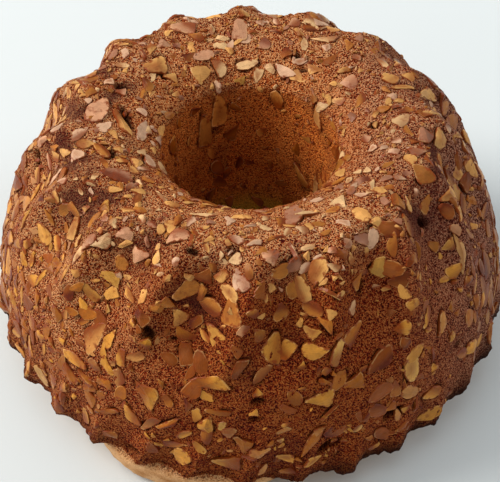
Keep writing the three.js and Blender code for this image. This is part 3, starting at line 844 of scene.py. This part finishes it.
# %% Laying rule
# Slices get painted shade: darker in the hole and on the right, and darker and warmer lower down,
# between the two heights in mm.
SLICE_THICKNESS = 1.4
FOLLOWS_CRUST = 0.75
IN_HOLE_PAINTED_SHADE, LOW_PAINTED_SHADE, RIGHT_PAINTED_SHADE = (0.75, 0.55, 0.35), (0.92, 0.78, 0.36), 0.14
DIM_BELOW = (74, 99)
SHADE_RANGE = (0.84, 1.16)
lay_draws = np.random.default_rng(23)
laid = {"place": [], "lie": [], "size": [], "shape": [], "tone": [], "stain": [], "radius": [],
        "stand": [], "follow": []}


def lay(place, along_it, normal, size, shape, tone, stand, follow):
    along_it = along_it - normal * (along_it @ normal)
    along_it = along_it / np.linalg.norm(along_it)
    basis = Matrix((along_it, np.cross(normal, along_it), normal)).transposed()
    azimuth = math.atan2(place[0], -place[1])
    # Each slice's own random tone, times painted shade on the right.
    shade = lay_draws.uniform(*SHADE_RANGE) * (1 - RIGHT_PAINTED_SHADE * window(azimuth, *PAINTED_SHADE_SIDE))
    # Painted shade in the hole, and darker, warmer painted shade lower down.
    deep = place[2] < CREST_HEIGHT - THROAT_DROP and np.hypot(place[0], place[1]) < THROAT_RADIUS
    low = 1 - smooth(place[2], *DIM_BELOW)
    dim = IN_HOLE_PAINTED_SHADE if deep else [1 + (d - 1) * low for d in LOW_PAINTED_SHADE]
    laid["place"].append(place)
    laid["lie"].append(list(basis.to_euler()))
    laid["size"].append(size)
    laid["shape"].append(shape)
    laid["tone"].append([min(shade * d * v, 1) for d, v in zip(dim, srgb(TONES[tone]))] + [1])
    laid["stain"].append(lay_draws.random())
    laid["stand"].append(stand)
    laid["follow"].append(follow)
    laid["radius"].append(max(size[0], size[1]) / 2)


def any_shape(broken):
    if broken:
        return int(lay_draws.integers(WHOLE_SHAPES, WHOLE_SHAPES + BROKEN_SHAPES))
    return int(lay_draws.integers(0, WHOLE_SHAPES))


print("a slice is", SLICE_THICKNESS, "mm thick")


# %% The listed slices, each set with the height of its slices' middles over the crust in mm
def nearest_spot(azimuth, along):
    away = spot_azimuth - math.radians(azimuth)
    away = np.arctan2(np.sin(away), np.cos(away)) * MM_ROUND
    return int(np.argmin(away ** 2 + ((spot_along - along) * MM_ALONG) ** 2))


ROUNDER_THAN, NARROWER_THAN, ELSE_BROKEN = 0.7, 0.4, 0.5
for rows, stand in ((CREST_SLICES, -0.25), (LEFT_SLICES, -0.3), (FRONT_SLICES, -0.4)):
    for azimuth, along, to_azimuth, to_along, width, tone in rows:
        ends = [nearest_spot(azimuth, along), nearest_spot(to_azimuth, to_along)]
        run = spot_place[ends[1]] - spot_place[ends[0]]
        length = max(np.linalg.norm(run), width)
        middle = (spot_place[ends[0]] + spot_place[ends[1]]) / 2
        normal = spot_normal[ends[0]] + spot_normal[ends[1]]
        normal = normal / np.linalg.norm(normal)
        odd_shape = width > ROUNDER_THAN * length or width < NARROWER_THAN * length
        shape = any_shape(odd_shape or lay_draws.random() < ELSE_BROKEN)
        lay(middle, run, normal, (length, width, SLICE_THICKNESS), shape, tone, stand, FOLLOWS_CRUST)
placed_by_eye = len(laid["place"])
print("slices placed by eye:", placed_by_eye)

# %% The other slices, scattered: big ones first, then those that fill the spaces
# Tilts are in radians and heights over the crust in mm; the rest are shares or places along.
CREST_SMALLER, SMALLER_FROM = 0.22, (0.8, 1.0)
TRIES_EACH = 12
LEANING, STANDING = 0.12, (0.9, 1.4)
STANDING_SUNK, MIDDLE_HEIGHT = 0.18, (-0.75, -0.25)
WIDTH_SHARE = (0.4, 0.72)
LARGE, LARGE_BROKEN, SMALL_BROKEN = 9.0, 0.4, 0.75
TOP_FROM, TOP_TO = 0.75, 1.9


def scatter(count, lengths, spacing, clear_of_placed, on_edge):
    made = 0
    for spot in lay_draws.choice(len(spot_weight), size=count * TRIES_EACH, p=spot_weight):
        if made == count:
            break
        length = lay_draws.uniform(*lengths)
        length = length * (1 - CREST_SMALLER * smooth(spot_along[spot], *SMALLER_FROM))
        gaps = np.linalg.norm(np.array(laid["place"]) - spot_place[spot], axis=1)
        if (gaps < spacing * (np.array(laid["radius"]) + length / 2)).any():
            continue
        if (gaps[:placed_by_eye] < clear_of_placed).any():
            continue
        turn = lay_draws.uniform(0, 2 * math.pi)
        up, normal = spot_up[spot], spot_normal[spot]
        across = np.cross(normal, up)
        run = math.cos(turn) * up + math.sin(turn) * across
        side = np.cross(normal, run)
        stands = lay_draws.random() < on_edge
        tilt = lay_draws.uniform(*STANDING) if stands else lay_draws.normal(0, LEANING)
        leaning = math.cos(tilt) * normal + math.sin(tilt) * side
        sunk = STANDING_SUNK * length if stands else 0
        width = length * lay_draws.uniform(*WIDTH_SHARE)
        shape = any_shape(lay_draws.random() < (SMALL_BROKEN if length < LARGE else LARGE_BROKEN))
        tones = TOP_TONES if TOP_FROM < spot_along[spot] < TOP_TO else LOW_TONES
        tone = tones[lay_draws.integers(len(tones))]
        lay(spot_place[spot] - normal * sunk, run, leaning, (length, width, SLICE_THICKNESS), shape,
            tone, lay_draws.uniform(*MIDDLE_HEIGHT), 0 if stands else FOLLOWS_CRUST)
        made += 1
    print("laid", made, "slices of", lengths, "mm")


# How many, their lengths in mm, how far apart as a share of their sizes, how far from a listed
# slice in mm, and the share that stand on edge
scatter(190, (9.5, 15), 0.75, 15, 0.08)
scatter(880, (6, 11.5), 0.5, 6, 0.12)
scatter(1300, (2.2, 5.2), 0.55, 0, 0.2)

# %% [markdown]
# ## Crumb's material
# The crust is wheat crumb baked against a tin: chestnut brown, dry and full of fine dark pores,
# paler on the crest than on the flanks, partly by its own colour and partly by painted sheen,
# scorched in hollows and burnt along most of the rim. Painted light pales the left side, painted
# shade greys the right, and painted shade darkens the gaps beside slices and the pits. Under the
# rim the dough never met the tin and stayed pale and smooth, and the foot of the hole is golden.
# A photograph could be laid over it, but it would not fit another side, so the sponge is grown from
# noise and cells in real sizes. One number, from dark pore to pale grain, then picks each colour.

# %% What the crumb knows, and its noises: size on the crust in mm, detail and roughness
# To the eye baked crumb is matt and speckled: each pore is a small dark well between pale walls.
crust_material, tree = new_material("baked_wheat_crumb")
coords = add(tree, "ShaderNodeTexCoord").outputs["Object"]
known = {}
for label in ("along", "gap", "paler", "greyer", "scorch", "burnt", "in_hole", "hole_foot", "on_base"):
    known[label] = add(tree, "ShaderNodeAttribute", {"attribute_name": label}).outputs["Fac"]
CRUMB_NOISES = {"patches": (16, 3.0, 0.6), "grains": (0.58, 1.0, 0.5), "brownings": (30, 2.0, 0.5),
                "scorch_spots": (9, 3.0, 0.6), "dough_clouds": (7, 3.0, 0.6)}
for label, (size_mm, detail, roughness) in CRUMB_NOISES.items():
    known[label] = add(tree, "ShaderNodeTexNoise", None,
                       {"Vector": coords, "Scale": 1 / (size_mm * MM), "Detail": detail,
                        "Roughness": roughness}).outputs["Fac"]
print("crumb's noises:", list(CRUMB_NOISES))

# %% Crumb's sponge: grains and patches, less the pores
# The finest real pores, under half a millimetre, would not show in the render, so the small ones
# here are drawn as coarse as they need to show. A row has the pores' spacing in mm, where a pore's
# floor ends and its mouth begins as shares of that, how rare it is, and how much it darkens.
PORES = [(1.05, 0.12, 0.5, 0.0, -0.9), (2.6, 0.08, 0.3, 0.35, -0.7), (4.5, 0.08, 0.24, 0.45, -0.6)]
RARITY_SPREAD = 0.4
SPONGE_LEVEL = 0.69
sponge_parts = [(known["grains"], 0.5, 3.1), (known["patches"], 0.5, 0.8)]
for apart_mm, floor_ends, mouth_begins, rarity, weight in PORES:
    cells = add(tree, "ShaderNodeTexVoronoi", {"feature": "F1"},
                {"Vector": coords, "Scale": 1 / (apart_mm * MM), "Randomness": 1.0})
    chance = add(tree, "ShaderNodeSeparateColor", None, {"Color": cells.outputs["Color"]})
    depth = add(tree, "ShaderNodeMapRange", SMOOTH,
                {0: cells.outputs["Distance"], 1: floor_ends, 2: mouth_begins, 3: 1.0, 4: 0.0})
    is_pore = add(tree, "ShaderNodeMapRange", SMOOTH,
                  {0: chance.outputs[0], 1: rarity, 2: rarity + RARITY_SPREAD, 3: 0.0, 4: 1.0})
    pore = add(tree, "ShaderNodeMath", {"operation": "MULTIPLY"},
               {0: depth.outputs[0], 1: is_pore.outputs[0]})
    sponge_parts.append((pore.outputs[0], 0.0, weight))
known["sponge"] = SPONGE_LEVEL
for value, middle, weight in sponge_parts:
    swing = add(tree, "ShaderNodeMath", {"operation": "SUBTRACT"}, {0: value, 1: middle})
    known["sponge"] = add(tree, "ShaderNodeMath", {"operation": "MULTIPLY_ADD"},
                          {0: swing.outputs[0], 1: weight, 2: known["sponge"]}).outputs[0]
print("sponge of", len(sponge_parts), "parts")

# %% Shares of the crumb's colours
# An easing has what it follows, the two levels it runs between, and its values there.
CRUMB_EASINGS = {"near_crest": ("along", 0.68, 1.02, 0.0, 1.0),
                 "up_the_side": ("along", 0.1, 0.45, 0.3, 0.9),
                 "left_at_grey": ("greyer", 0.0, 1.0, 1.0, 0.55),
                 "browned": ("brownings", 0.54, 0.68, 0.0, 0.34),
                 "spotted": ("scorch_spots", 0.3, 0.52, 0.0, 0.85)}
for label, (follows, *levels) in CRUMB_EASINGS.items():
    known[label] = add(tree, "ShaderNodeMapRange", SMOOTH,
                       dict(enumerate([known[follows], *levels]))).outputs[0]
BURNT_REACH, BURNT_SHARE = 0.2, 0.92
reach = add(tree, "ShaderNodeMath", {"operation": "MULTIPLY"}, {0: known["patches"], 1: BURNT_REACH})
known["at_rim"] = add(tree, "ShaderNodeMapRange", SMOOTH,
                      {0: known["along"], 1: 0.0, 2: reach.outputs[0], 3: BURNT_SHARE,
                       4: 0.0}).outputs[0]
# A row works one share out of others, or of numbers.
GOLDEN_SHARE, SMOOTH_BASE, GAP_SHADE_SHARE, DOUGH_GRAIN = 0.85, 0.85, 0.88, 0.12
CRUMB_SUMS = [("pale_side", "MULTIPLY", "paler", "up_the_side"),
              # light is the share of the paler browns: the crest, partly painted sheen, and the left's
              # painted light, less where the right's painted shade lies.
              ("light", "MAXIMUM", "near_crest", "pale_side"),
              ("light", "MULTIPLY", "light", "left_at_grey"),
              ("scorched", "MULTIPLY", "scorch", "spotted"),
              ("scorched", "MAXIMUM", "browned", "scorched"),
              ("burnt_rim", "MULTIPLY", "burnt", "at_rim"),
              ("golden", "MULTIPLY", "hole_foot", GOLDEN_SHARE),
              ("smoothed", "MULTIPLY", "on_base", SMOOTH_BASE),
              ("porous", "SUBTRACT", 1.0, "smoothed"),
              # torn is painted shade: the crumb darkened in the gaps beside slices and in the pits.
              ("torn", "MULTIPLY", "porous", GAP_SHADE_SHARE),
              ("torn", "MULTIPLY", "gap", "torn"),
              ("dough", "MULTIPLY_ADD", "sponge", DOUGH_GRAIN, "dough_clouds"),
              ("relief", "MULTIPLY", "sponge", "porous")]
for label, operation, *values in CRUMB_SUMS:
    known[label] = add(tree, "ShaderNodeMath", {"operation": operation},
                       dict(enumerate(known.get(value, value) for value in values))).outputs[0]
print("shares of the crumb:", len(known))

# %% Crumb's colours, from dark pore to pale grain
# The crest browns are paler and greyer, partly the crest's own colour and partly painted sheen; the
# shade browns are painted shade.
BROWNS = {"low": ((0.0, "#480600"), (0.4, "#781f03"), (0.62, "#903d12"), (0.95, "#b0622c")),
          "shade": ((0.0, "#441108"), (0.4, "#733620"), (0.62, "#88513b"), (0.95, "#b27d62")),
          "crest": ((0.0, "#4c0500"), (0.4, "#9a3405"), (0.62, "#c27640"), (0.95, "#d8a06e")),
          "hole": ((0.0, "#782a10"), (0.3, "#b2541a"), (0.55, "#c56424"), (0.9, "#d67f38")),
          "base": ((0.34, "#a9713f"), (0.8, "#e0b180"))}
browns = {}
for label, stops in BROWNS.items():
    follows = "dough" if label == "base" else "sponge"
    ramp = add(tree, "ShaderNodeValToRGB", None, {"Fac": known[follows]})
    ends = ramp.color_ramp.elements
    for end, (position, colour) in ((ends[0], stops[0]), (ends[1], stops[-1])):
        end.position = position
        end.color = srgb(colour)
    for position, colour in stops[1:-1]:
        ends.new(position).color = srgb(colour)
    browns[label] = ramp.outputs["Color"]
# From the flanks' brown up, each row is a share and the colour laid over what is there.
# Among these, shade is painted shade on the right, crest is partly painted sheen and painted light on
# the left, and #300800 is painted shade in gaps and pits.
CRUMB_LAYERS = [("greyer", "shade"), ("light", "crest"), ("in_hole", "hole"), ("scorched", "#4a1a14"),
                ("burnt_rim", "#23100a"), ("golden", "#c9a032"), ("torn", "#300800"),
                ("on_base", "base")]
crumb_colour = browns["low"]
for share, over in CRUMB_LAYERS:
    over = browns[over] if over in browns else srgb(over)
    crumb_colour = add(tree, "ShaderNodeMix", {"data_type": "RGBA"},
                       {0: known[share], 6: crumb_colour, 7: over}).outputs[2]
print("browns:", list(browns))

# %% Crumb's surface
# Dry starch has an IOR of about 1.5 and bread crumb is nearly fully rough. The walls between pores
# trap most of the shine, so the specular level is low, and the rest is matched to the photograph.
CRUMB_RELIEF = 0.7 * MM
bump = add(tree, "ShaderNodeBump", None,
           {"Height": known["relief"], "Strength": 1.0, "Distance": CRUMB_RELIEF})
crumb = add(tree, "ShaderNodeBsdfPrincipled", None,
            {"Base Color": crumb_colour, "Normal": bump.outputs[0], "IOR": 1.5,
             "Roughness": 0.8, "Specular IOR Level": 0.07})
add(tree, "ShaderNodeOutputMaterial", None, {"Surface": crumb.outputs[0]})
print(crust_material.name, "has", len(tree.nodes), "nodes")

# %% [markdown]
# ## Almonds' material
# The almonds are sliced, then toasted in the oven: cream to rust, a little waxy, darker to one side,
# with a brown stain in the middle of some, a pale cut rim with a painted highlight, a painted
# shadow line at the very edge, and smears of crumb on most. The pink, rose and mauve ones carry a
# painted sheen of the sky. A slice knows its own tone, how far a point is from its edge and where
# on it the point lies, so the toasting is worked out from these and no two slices look the same.

# %% What a slice knows, and its noises: size in mm, detail and roughness
# To the eye a toasted slice is smooth, with a soft sheen over faint streaks along its length.
almond_material, tree = new_material("toasted_almond_slice")
coords = add(tree, "ShaderNodeTexCoord").outputs["Object"]
known = {}
for label, output in (("tone", "Color"), ("stain", "Fac"), ("edge", "Fac"), ("slice_place", "Vector")):
    known[label] = add(tree, "ShaderNodeAttribute", {"attribute_name": label}).outputs[output]
ALMOND_NOISES = {"clouds": (4, 2.0, 0.6), "spots": (3, 3.0, 0.6), "smears": (2.5, 2.0, 0.6)}
for label, (size_mm, detail, roughness) in ALMOND_NOISES.items():
    known[label] = add(tree, "ShaderNodeTexNoise", None,
                       {"Vector": coords, "Scale": 1 / (size_mm * MM), "Detail": detail,
                        "Roughness": roughness}).outputs["Fac"]
STREAKS_TO_A_SLICE = (2, 14, 0)
lengthwise = add(tree, "ShaderNodeMapping", None,
                 {"Vector": known["slice_place"], "Scale": STREAKS_TO_A_SLICE})
known["streaks"] = add(tree, "ShaderNodeTexNoise", None,
                       {"Vector": lengthwise.outputs[0], "Scale": 1.0, "Detail": 1.0}).outputs["Fac"]
print("almond's noises:", list(ALMOND_NOISES))

# %% Shares of the almond's colours
# Each slice's own stain number, from 0 to 1, also draws its toasted side and how toasted it is.
TOAST_TURN, TOAST_DRAW, STAIN_DRAW = 40.0, 7.3, 13.7
angle = add(tree, "ShaderNodeMath", {"operation": "MULTIPLY"}, {0: known["stain"], 1: TOAST_TURN})
turned = add(tree, "ShaderNodeVectorRotate", {"rotation_type": "Z_AXIS"},
             {"Vector": known["slice_place"], "Angle": angle.outputs[0]})
known["across"] = add(tree, "ShaderNodeSeparateXYZ", None, {0: turned.outputs[0]}).outputs["X"]
ALMOND_SUMS = [("mottle", "MULTIPLY_ADD", "streaks", 0.4, "clouds"),
               ("one_side", "MULTIPLY_ADD", "clouds", 0.5, "across"),
               ("toast_draw", "MULTIPLY", "stain", TOAST_DRAW), ("toast_draw", "FRACT", "toast_draw"),
               ("stain_draw", "MULTIPLY", "stain", STAIN_DRAW), ("stain_draw", "FRACT", "stain_draw"),
               ("smear_level", "MULTIPLY_ADD", "smears", 1.7, "edge")]
ALMOND_EASINGS = {"toasted_side": ("one_side", 0.0, 0.5, 0.0, 1.0),
                  "how_toasted": ("toast_draw", 0.1, 0.9, 0.0, 0.95),
                  "how_stained": ("stain_draw", 0.55, 1.0, 0.0, 0.7),
                  "middle": ("edge", 0.15, 0.75, 1.0, 0.0),
                  "spotted": ("spots", 0.56, 0.7, 0.0, 0.5),
                  "near_edge": ("edge", 0.7, 0.82, 0.0, 0.35),
                  "inside_edge": ("edge", 0.9, 0.98, 1.0, 0.0),
                  "pale_side": ("one_side", 0.0, 0.35, 1.0, 0.0),
                  # A painted shadow line at the slice's very edge.
                  "dark_edge": ("edge", 0.9, 1.0, 0.0, 0.6),
                  "smeared": ("smear_level", 1.55, 1.85, 0.0, 0.9)}
ALMOND_PRODUCTS = [("toasted", "MULTIPLY", "toasted_side", "how_toasted"),
                   ("stained", "MULTIPLY", "how_stained", "middle"),
                   # A pale cut rim, partly the cut edge's own colour and partly painted highlight.
                   ("cut_rim", "MULTIPLY", "near_edge", "inside_edge"),
                   ("cut_rim", "MULTIPLY", "cut_rim", "pale_side")]
for label, operation, *values in ALMOND_SUMS:
    known[label] = add(tree, "ShaderNodeMath", {"operation": operation},
                       dict(enumerate(known.get(value, value) for value in values))).outputs[0]
for label, (follows, *levels) in ALMOND_EASINGS.items():
    known[label] = add(tree, "ShaderNodeMapRange", SMOOTH,
                       dict(enumerate([known[follows], *levels]))).outputs[0]
for label, operation, *values in ALMOND_PRODUCTS:
    known[label] = add(tree, "ShaderNodeMath", {"operation": operation},
                       dict(enumerate(known[value] for value in values))).outputs[0]
print("shares of the almond:", len(known))

# %% Almond's colours and surface
# Nut flesh has an IOR of about 1.5. A cut almond is a little waxy, so its roughness is middling.
MOTTLE_LEVELS, MOTTLE_VALUES = (0.5, 0.95), (0.78, 1.16)
WRINKLE_HEIGHT = 0.5 * MM
mottle = add(tree, "ShaderNodeMapRange", None,
             dict(enumerate([known["mottle"], *MOTTLE_LEVELS, *MOTTLE_VALUES]))).outputs[0]
skin = add(tree, "ShaderNodeMix", {"data_type": "RGBA", "blend_type": "MULTIPLY"},
           {0: 1.0, 6: known["tone"], 7: mottle}).outputs[2]
# The #dcae72 layer is a pale cut rim, partly painted highlight; the #6a2506 layer is a painted shadow
# line at the edge.
ALMOND_LAYERS = [("toasted", "#a87250", "MULTIPLY"), ("stained", "#87491f", "MIX"),
                 ("spotted", "#762e08", "MIX"), ("cut_rim", "#dcae72", "MIX"),
                 ("dark_edge", "#6a2506", "MIX"), ("smeared", "#7c340e", "MIX")]
for share, over, blending in ALMOND_LAYERS:
    skin = add(tree, "ShaderNodeMix", {"data_type": "RGBA", "blend_type": blending},
               {0: known[share], 6: skin, 7: srgb(over)}).outputs[2]
wrinkles = add(tree, "ShaderNodeBump", None,
               {"Height": mottle, "Strength": 0.8, "Distance": WRINKLE_HEIGHT})
almond = add(tree, "ShaderNodeBsdfPrincipled", None,
             {"Base Color": skin, "Normal": wrinkles.outputs[0], "IOR": 1.5, "Roughness": 0.38,
              "Specular IOR Level": 0.14})
add(tree, "ShaderNodeOutputMaterial", None, {"Surface": almond.outputs[0]})
print(almond_material.name, "has", len(tree.nodes), "nodes")

# %% [markdown]
# ## Laying the slices
# A Geometry Nodes tree puts one slice on each point, turned and sized as the laying rule says. The
# crumb set round the slices level with them, so a slice that lies flat is then eased on to the
# crust's curve; one that stands on edge keeps its own shape. The instances are made real, because
# an exported model keeps only real meshes.

# %% A tree that lays slices on points
tree, given = new_tree("lay_the_slices", [("Shapes", "NodeSocketCollection"),
                                          ("Crust", "NodeSocketObject"),
                                          ("Material", "NodeSocketMaterial")])
fields = {}
for name, kind in (("lie", "FLOAT_VECTOR"), ("size", "FLOAT_VECTOR"), ("shape", "INT"),
                   ("stand", "FLOAT"), ("follow", "FLOAT"), ("slice_place", "FLOAT_VECTOR")):
    field = add(tree, "GeometryNodeInputNamedAttribute", {"data_type": kind}, {"Name": name})
    fields[name] = field.outputs[0]
shapes = add(tree, "GeometryNodeCollectionInfo", None,
             {"Collection": given["Shapes"], "Separate Children": True, "Reset Children": True})
turn = add(tree, "FunctionNodeEulerToRotation", None, {0: fields["lie"]})
slices = add(tree, "GeometryNodeInstanceOnPoints", None,
             {"Points": given["Geometry"], "Instance": shapes.outputs[0], "Pick Instance": True,
              "Instance Index": fields["shape"], "Rotation": turn.outputs[0],
              "Scale": fields["size"]})
real = add(tree, "GeometryNodeRealizeInstances", None, {"Geometry": slices.outputs[0]})
crust = add(tree, "GeometryNodeObjectInfo", {"transform_space": "ORIGINAL"}, {"Object": given["Crust"]})
nearest = add(tree, "GeometryNodeProximity", {"target_element": "FACES"},
              {0: crust.outputs["Geometry"]})
crust_normal = add(tree, "GeometryNodeInputNormal").outputs[0]
facing = add(tree, "GeometryNodeSampleNearestSurface", {"data_type": "FLOAT_VECTOR"},
             {"Mesh": crust.outputs["Geometry"], "Value": crust_normal})
flat_height = add(tree, "ShaderNodeVectorMath", {"operation": "MULTIPLY"},
                  {0: fields["slice_place"], 1: fields["size"]})
flat_height = add(tree, "ShaderNodeSeparateXYZ", None, {0: flat_height.outputs[0]})
flat_height = add(tree, "ShaderNodeMath", {"operation": "ADD"},
                  {0: flat_height.outputs["Z"], 1: fields["stand"]})
raised = add(tree, "ShaderNodeVectorMath", {"operation": "SCALE"},
             {0: facing.outputs[0], "Scale": flat_height.outputs[0]})
eased = add(tree, "ShaderNodeVectorMath", {"operation": "ADD"},
            {0: nearest.outputs["Position"], 1: raised.outputs[0]})
place = add(tree, "GeometryNodeInputPosition").outputs[0]
resting = add(tree, "ShaderNodeMix", {"data_type": "VECTOR"},
              {0: fields["follow"], 4: place, 5: eased.outputs[0]})
settled = add(tree, "GeometryNodeSetPosition", None,
              {"Geometry": real.outputs[0], "Position": resting.outputs[1]})
coloured = add(tree, "GeometryNodeSetMaterial", None,
               {"Geometry": settled.outputs[0], "Material": given["Material"]})
add(tree, "NodeGroupOutput", None, {"Geometry": coloured.outputs[0]})
print("the laying tree has", len(tree.nodes), "nodes")


# %% The large slices and the small ones, each a piece
def slices_piece(name, chosen):
    mesh = bpy.data.meshes.new(name)
    mesh.from_pydata((np.array(laid["place"])[chosen] * MM).tolist(), [], [])
    for label, kind, unit in (("lie", "FLOAT_VECTOR", 1), ("size", "FLOAT_VECTOR", MM),
                              ("shape", "INT", 1), ("tone", "FLOAT_COLOR", 1), ("stain", "FLOAT", 1),
                              ("stand", "FLOAT", MM), ("follow", "FLOAT", 1)):
        set_attribute(mesh, label, kind, np.array(laid[label])[chosen] * unit)
    piece = bpy.data.objects.new(name, mesh)
    bpy.context.scene.collection.objects.link(piece)
    made = run_tree(piece, tree, {"Shapes": slice_shapes, "Crust": cake, "Material": almond_material})
    print(name, "of", int(chosen.sum()), "slices,", len(made.polygons), "faces")
    return piece


is_large = 2 * np.array(laid["radius"]) >= LARGE
flakes = slices_piece("almond_flakes", is_large)
bits = slices_piece("almond_bits", ~is_large)

# %% [markdown]
# ## Crumb
# Between the slices the crust is uneven: soft lumps, rough crumb and some pits, and the crumb has
# shrunk away beside some slices. Sculpting would do it once, by hand; here the pits are worked out
# first, as depths at the ring's points, and then a tree moves the points by all these reliefs and
# keeps how deep each lies, which the crumb's colour darkens as painted shade. The finest pores are
# left to the material, as no mesh is fine enough.

# %% Depth of the pits at each point of the ring
RIM_RAGGED, RAGGED_EDGE = 1.4, (0.01, 0.07)
SMOOTH_UNDER, ROUGH_AGAIN = (2.6, 3.2), (5.1, 5.5)
PIT_FLOOR, PIT_EDGE = 0.1, 0.6
pit_depth = np.zeros(len(fluted_places))
for azimuth, along, to_azimuth, to_along, width, depth in PITS:
    start = spot_place[nearest_spot(azimuth, along)]
    run = spot_place[nearest_spot(to_azimuth, to_along)] - start
    share = np.clip((fluted_places - start) @ run / max(run @ run, 1), 0, 1)
    away = np.linalg.norm(fluted_places - start - share[:, None] * run, axis=1)
    pit_depth = np.maximum(pit_depth, depth * (1 - smooth(away, PIT_FLOOR * width, PIT_EDGE * width)))
set_attribute(fluted, "pit", "FLOAT", pit_depth * MM)
rough = 1 - smooth(ring_along, *SMOOTH_UNDER) + smooth(ring_along, *ROUGH_AGAIN)
rough = rough + RIM_RAGGED * (1 - smooth(ring_along, *RAGGED_EDGE))
set_attribute(fluted, "rough", "FLOAT", rough)
print("points in pits:", int((pit_depth > 0).sum()))

# %% A tree that raises the crumb
CRUMB_INPUTS = [("Slices", "NodeSocketObject"), ("Lump Height", "NodeSocketFloat"),
                ("Crumb Height", "NodeSocketFloat"), ("Gap Depth", "NodeSocketFloat"),
                ("Material", "NodeSocketMaterial")]
LUMP_MM, CRUMB_MM, TEAR_MM = 11, 2.2, 6
GAP_REACH, TORN_LEVELS, PIT_SHOWS = (0.2 * MM, 1.5 * MM), (0.5, 0.62), (0.3 * MM, 1.8 * MM)
tree, given = new_tree("raise_the_crumb", CRUMB_INPUTS)
place = add(tree, "GeometryNodeInputPosition").outputs[0]
pit = add(tree, "GeometryNodeInputNamedAttribute", {"data_type": "FLOAT"}, {"Name": "pit"})
rise = None
for size_mm, detail, label in ((LUMP_MM, 1.0, "Lump Height"), (CRUMB_MM, 2.0, "Crumb Height")):
    swell = add(tree, "ShaderNodeTexNoise", None,
                {"Vector": place, "Scale": 1 / (size_mm * MM), "Detail": detail})
    swing = add(tree, "ShaderNodeMath", {"operation": "SUBTRACT"}, {0: swell.outputs[0], 1: 0.5})
    swing = add(tree, "ShaderNodeMath", {"operation": "MULTIPLY"},
                {0: swing.outputs[0], 1: given[label]})
    if rise:
        swing = add(tree, "ShaderNodeMath", {"operation": "ADD"},
                    {0: rise.outputs[0], 1: swing.outputs[0]})
    rise = swing
beside = add(tree, "GeometryNodeObjectInfo", {"transform_space": "ORIGINAL"},
             {"Object": given["Slices"]})
near = add(tree, "GeometryNodeProximity", {"target_element": "FACES"},
           {0: beside.outputs["Geometry"]})
close = add(tree, "ShaderNodeMapRange", SMOOTH,
            {0: near.outputs["Distance"], 1: GAP_REACH[0], 2: GAP_REACH[1], 3: 1.0, 4: 0.0})
torn = add(tree, "ShaderNodeTexNoise", None,
           {"Vector": place, "Scale": 1 / (TEAR_MM * MM), "Detail": 1.0})
torn = add(tree, "ShaderNodeMapRange", SMOOTH,
           {0: torn.outputs[0], 1: TORN_LEVELS[0], 2: TORN_LEVELS[1], 3: 0.0, 4: 1.0})
gap = add(tree, "ShaderNodeMath", {"operation": "MULTIPLY"},
          {0: close.outputs[0], 1: torn.outputs[0]})
dent = add(tree, "ShaderNodeMath", {"operation": "MULTIPLY"},
           {0: gap.outputs[0], 1: given["Gap Depth"]})
rise = add(tree, "ShaderNodeMath", {"operation": "SUBTRACT"}, {0: rise.outputs[0], 1: dent.outputs[0]})
rough_part = add(tree, "GeometryNodeInputNamedAttribute", {"data_type": "FLOAT"}, {"Name": "rough"})
rise = add(tree, "ShaderNodeMath", {"operation": "MULTIPLY"},
           {0: rise.outputs[0], 1: rough_part.outputs[0]})
rise = add(tree, "ShaderNodeMath", {"operation": "SUBTRACT"}, {0: rise.outputs[0], 1: pit.outputs[0]})
normal = add(tree, "GeometryNodeInputNormal").outputs[0]
move = add(tree, "ShaderNodeVectorMath", {"operation": "SCALE"},
           {0: normal, "Scale": rise.outputs[0]})
pit_share = add(tree, "ShaderNodeMapRange", None,
                {0: pit.outputs[0], 1: PIT_SHOWS[0], 2: PIT_SHOWS[1], 3: 0.0, 4: 1.0})
# How deep a gap or pit lies is kept as gap, for the crumb's painted shade.
deep = add(tree, "ShaderNodeMath", {"operation": "MAXIMUM"},
           {0: gap.outputs[0], 1: pit_share.outputs[0]})
kept = add(tree, "GeometryNodeStoreNamedAttribute", {"data_type": "FLOAT", "domain": "POINT"},
           {"Geometry": given["Geometry"], "Name": "gap", "Value": deep.outputs[0]})
moved = add(tree, "GeometryNodeSetPosition", None,
            {"Geometry": kept.outputs[0], "Offset": move.outputs[0]})
coloured = add(tree, "GeometryNodeSetMaterial", None,
               {"Geometry": moved.outputs[0], "Material": given["Material"]})
add(tree, "NodeGroupOutput", None, {"Geometry": coloured.outputs[0]})
print("the crumb tree has", len(tree.nodes), "nodes")

# %% The tree run on the fluted ring
crumbed = run_tree(cake, tree, {"Slices": flakes, "Lump Height": 1.6 * MM, "Crumb Height": 1.5 * MM,
                                "Gap Depth": 0.8 * MM, "Material": crust_material})
crumbed.polygons.foreach_set("use_smooth", np.ones(len(crumbed.polygons), dtype=bool))
triangles = sum(len(p.vertices) - 2 for p in crumbed.polygons)
print("crust", triangles, "triangles")

# %% [markdown]
# ## The pieces on the cake's body
# The three pieces ride on the cake's one body and stand for its solid.

# %% Pieces on the cake's body
for piece, finish in ((cake, "crust"), (flakes, "almond"), (bits, "almond")):
    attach(piece, "root")
    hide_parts("cake")
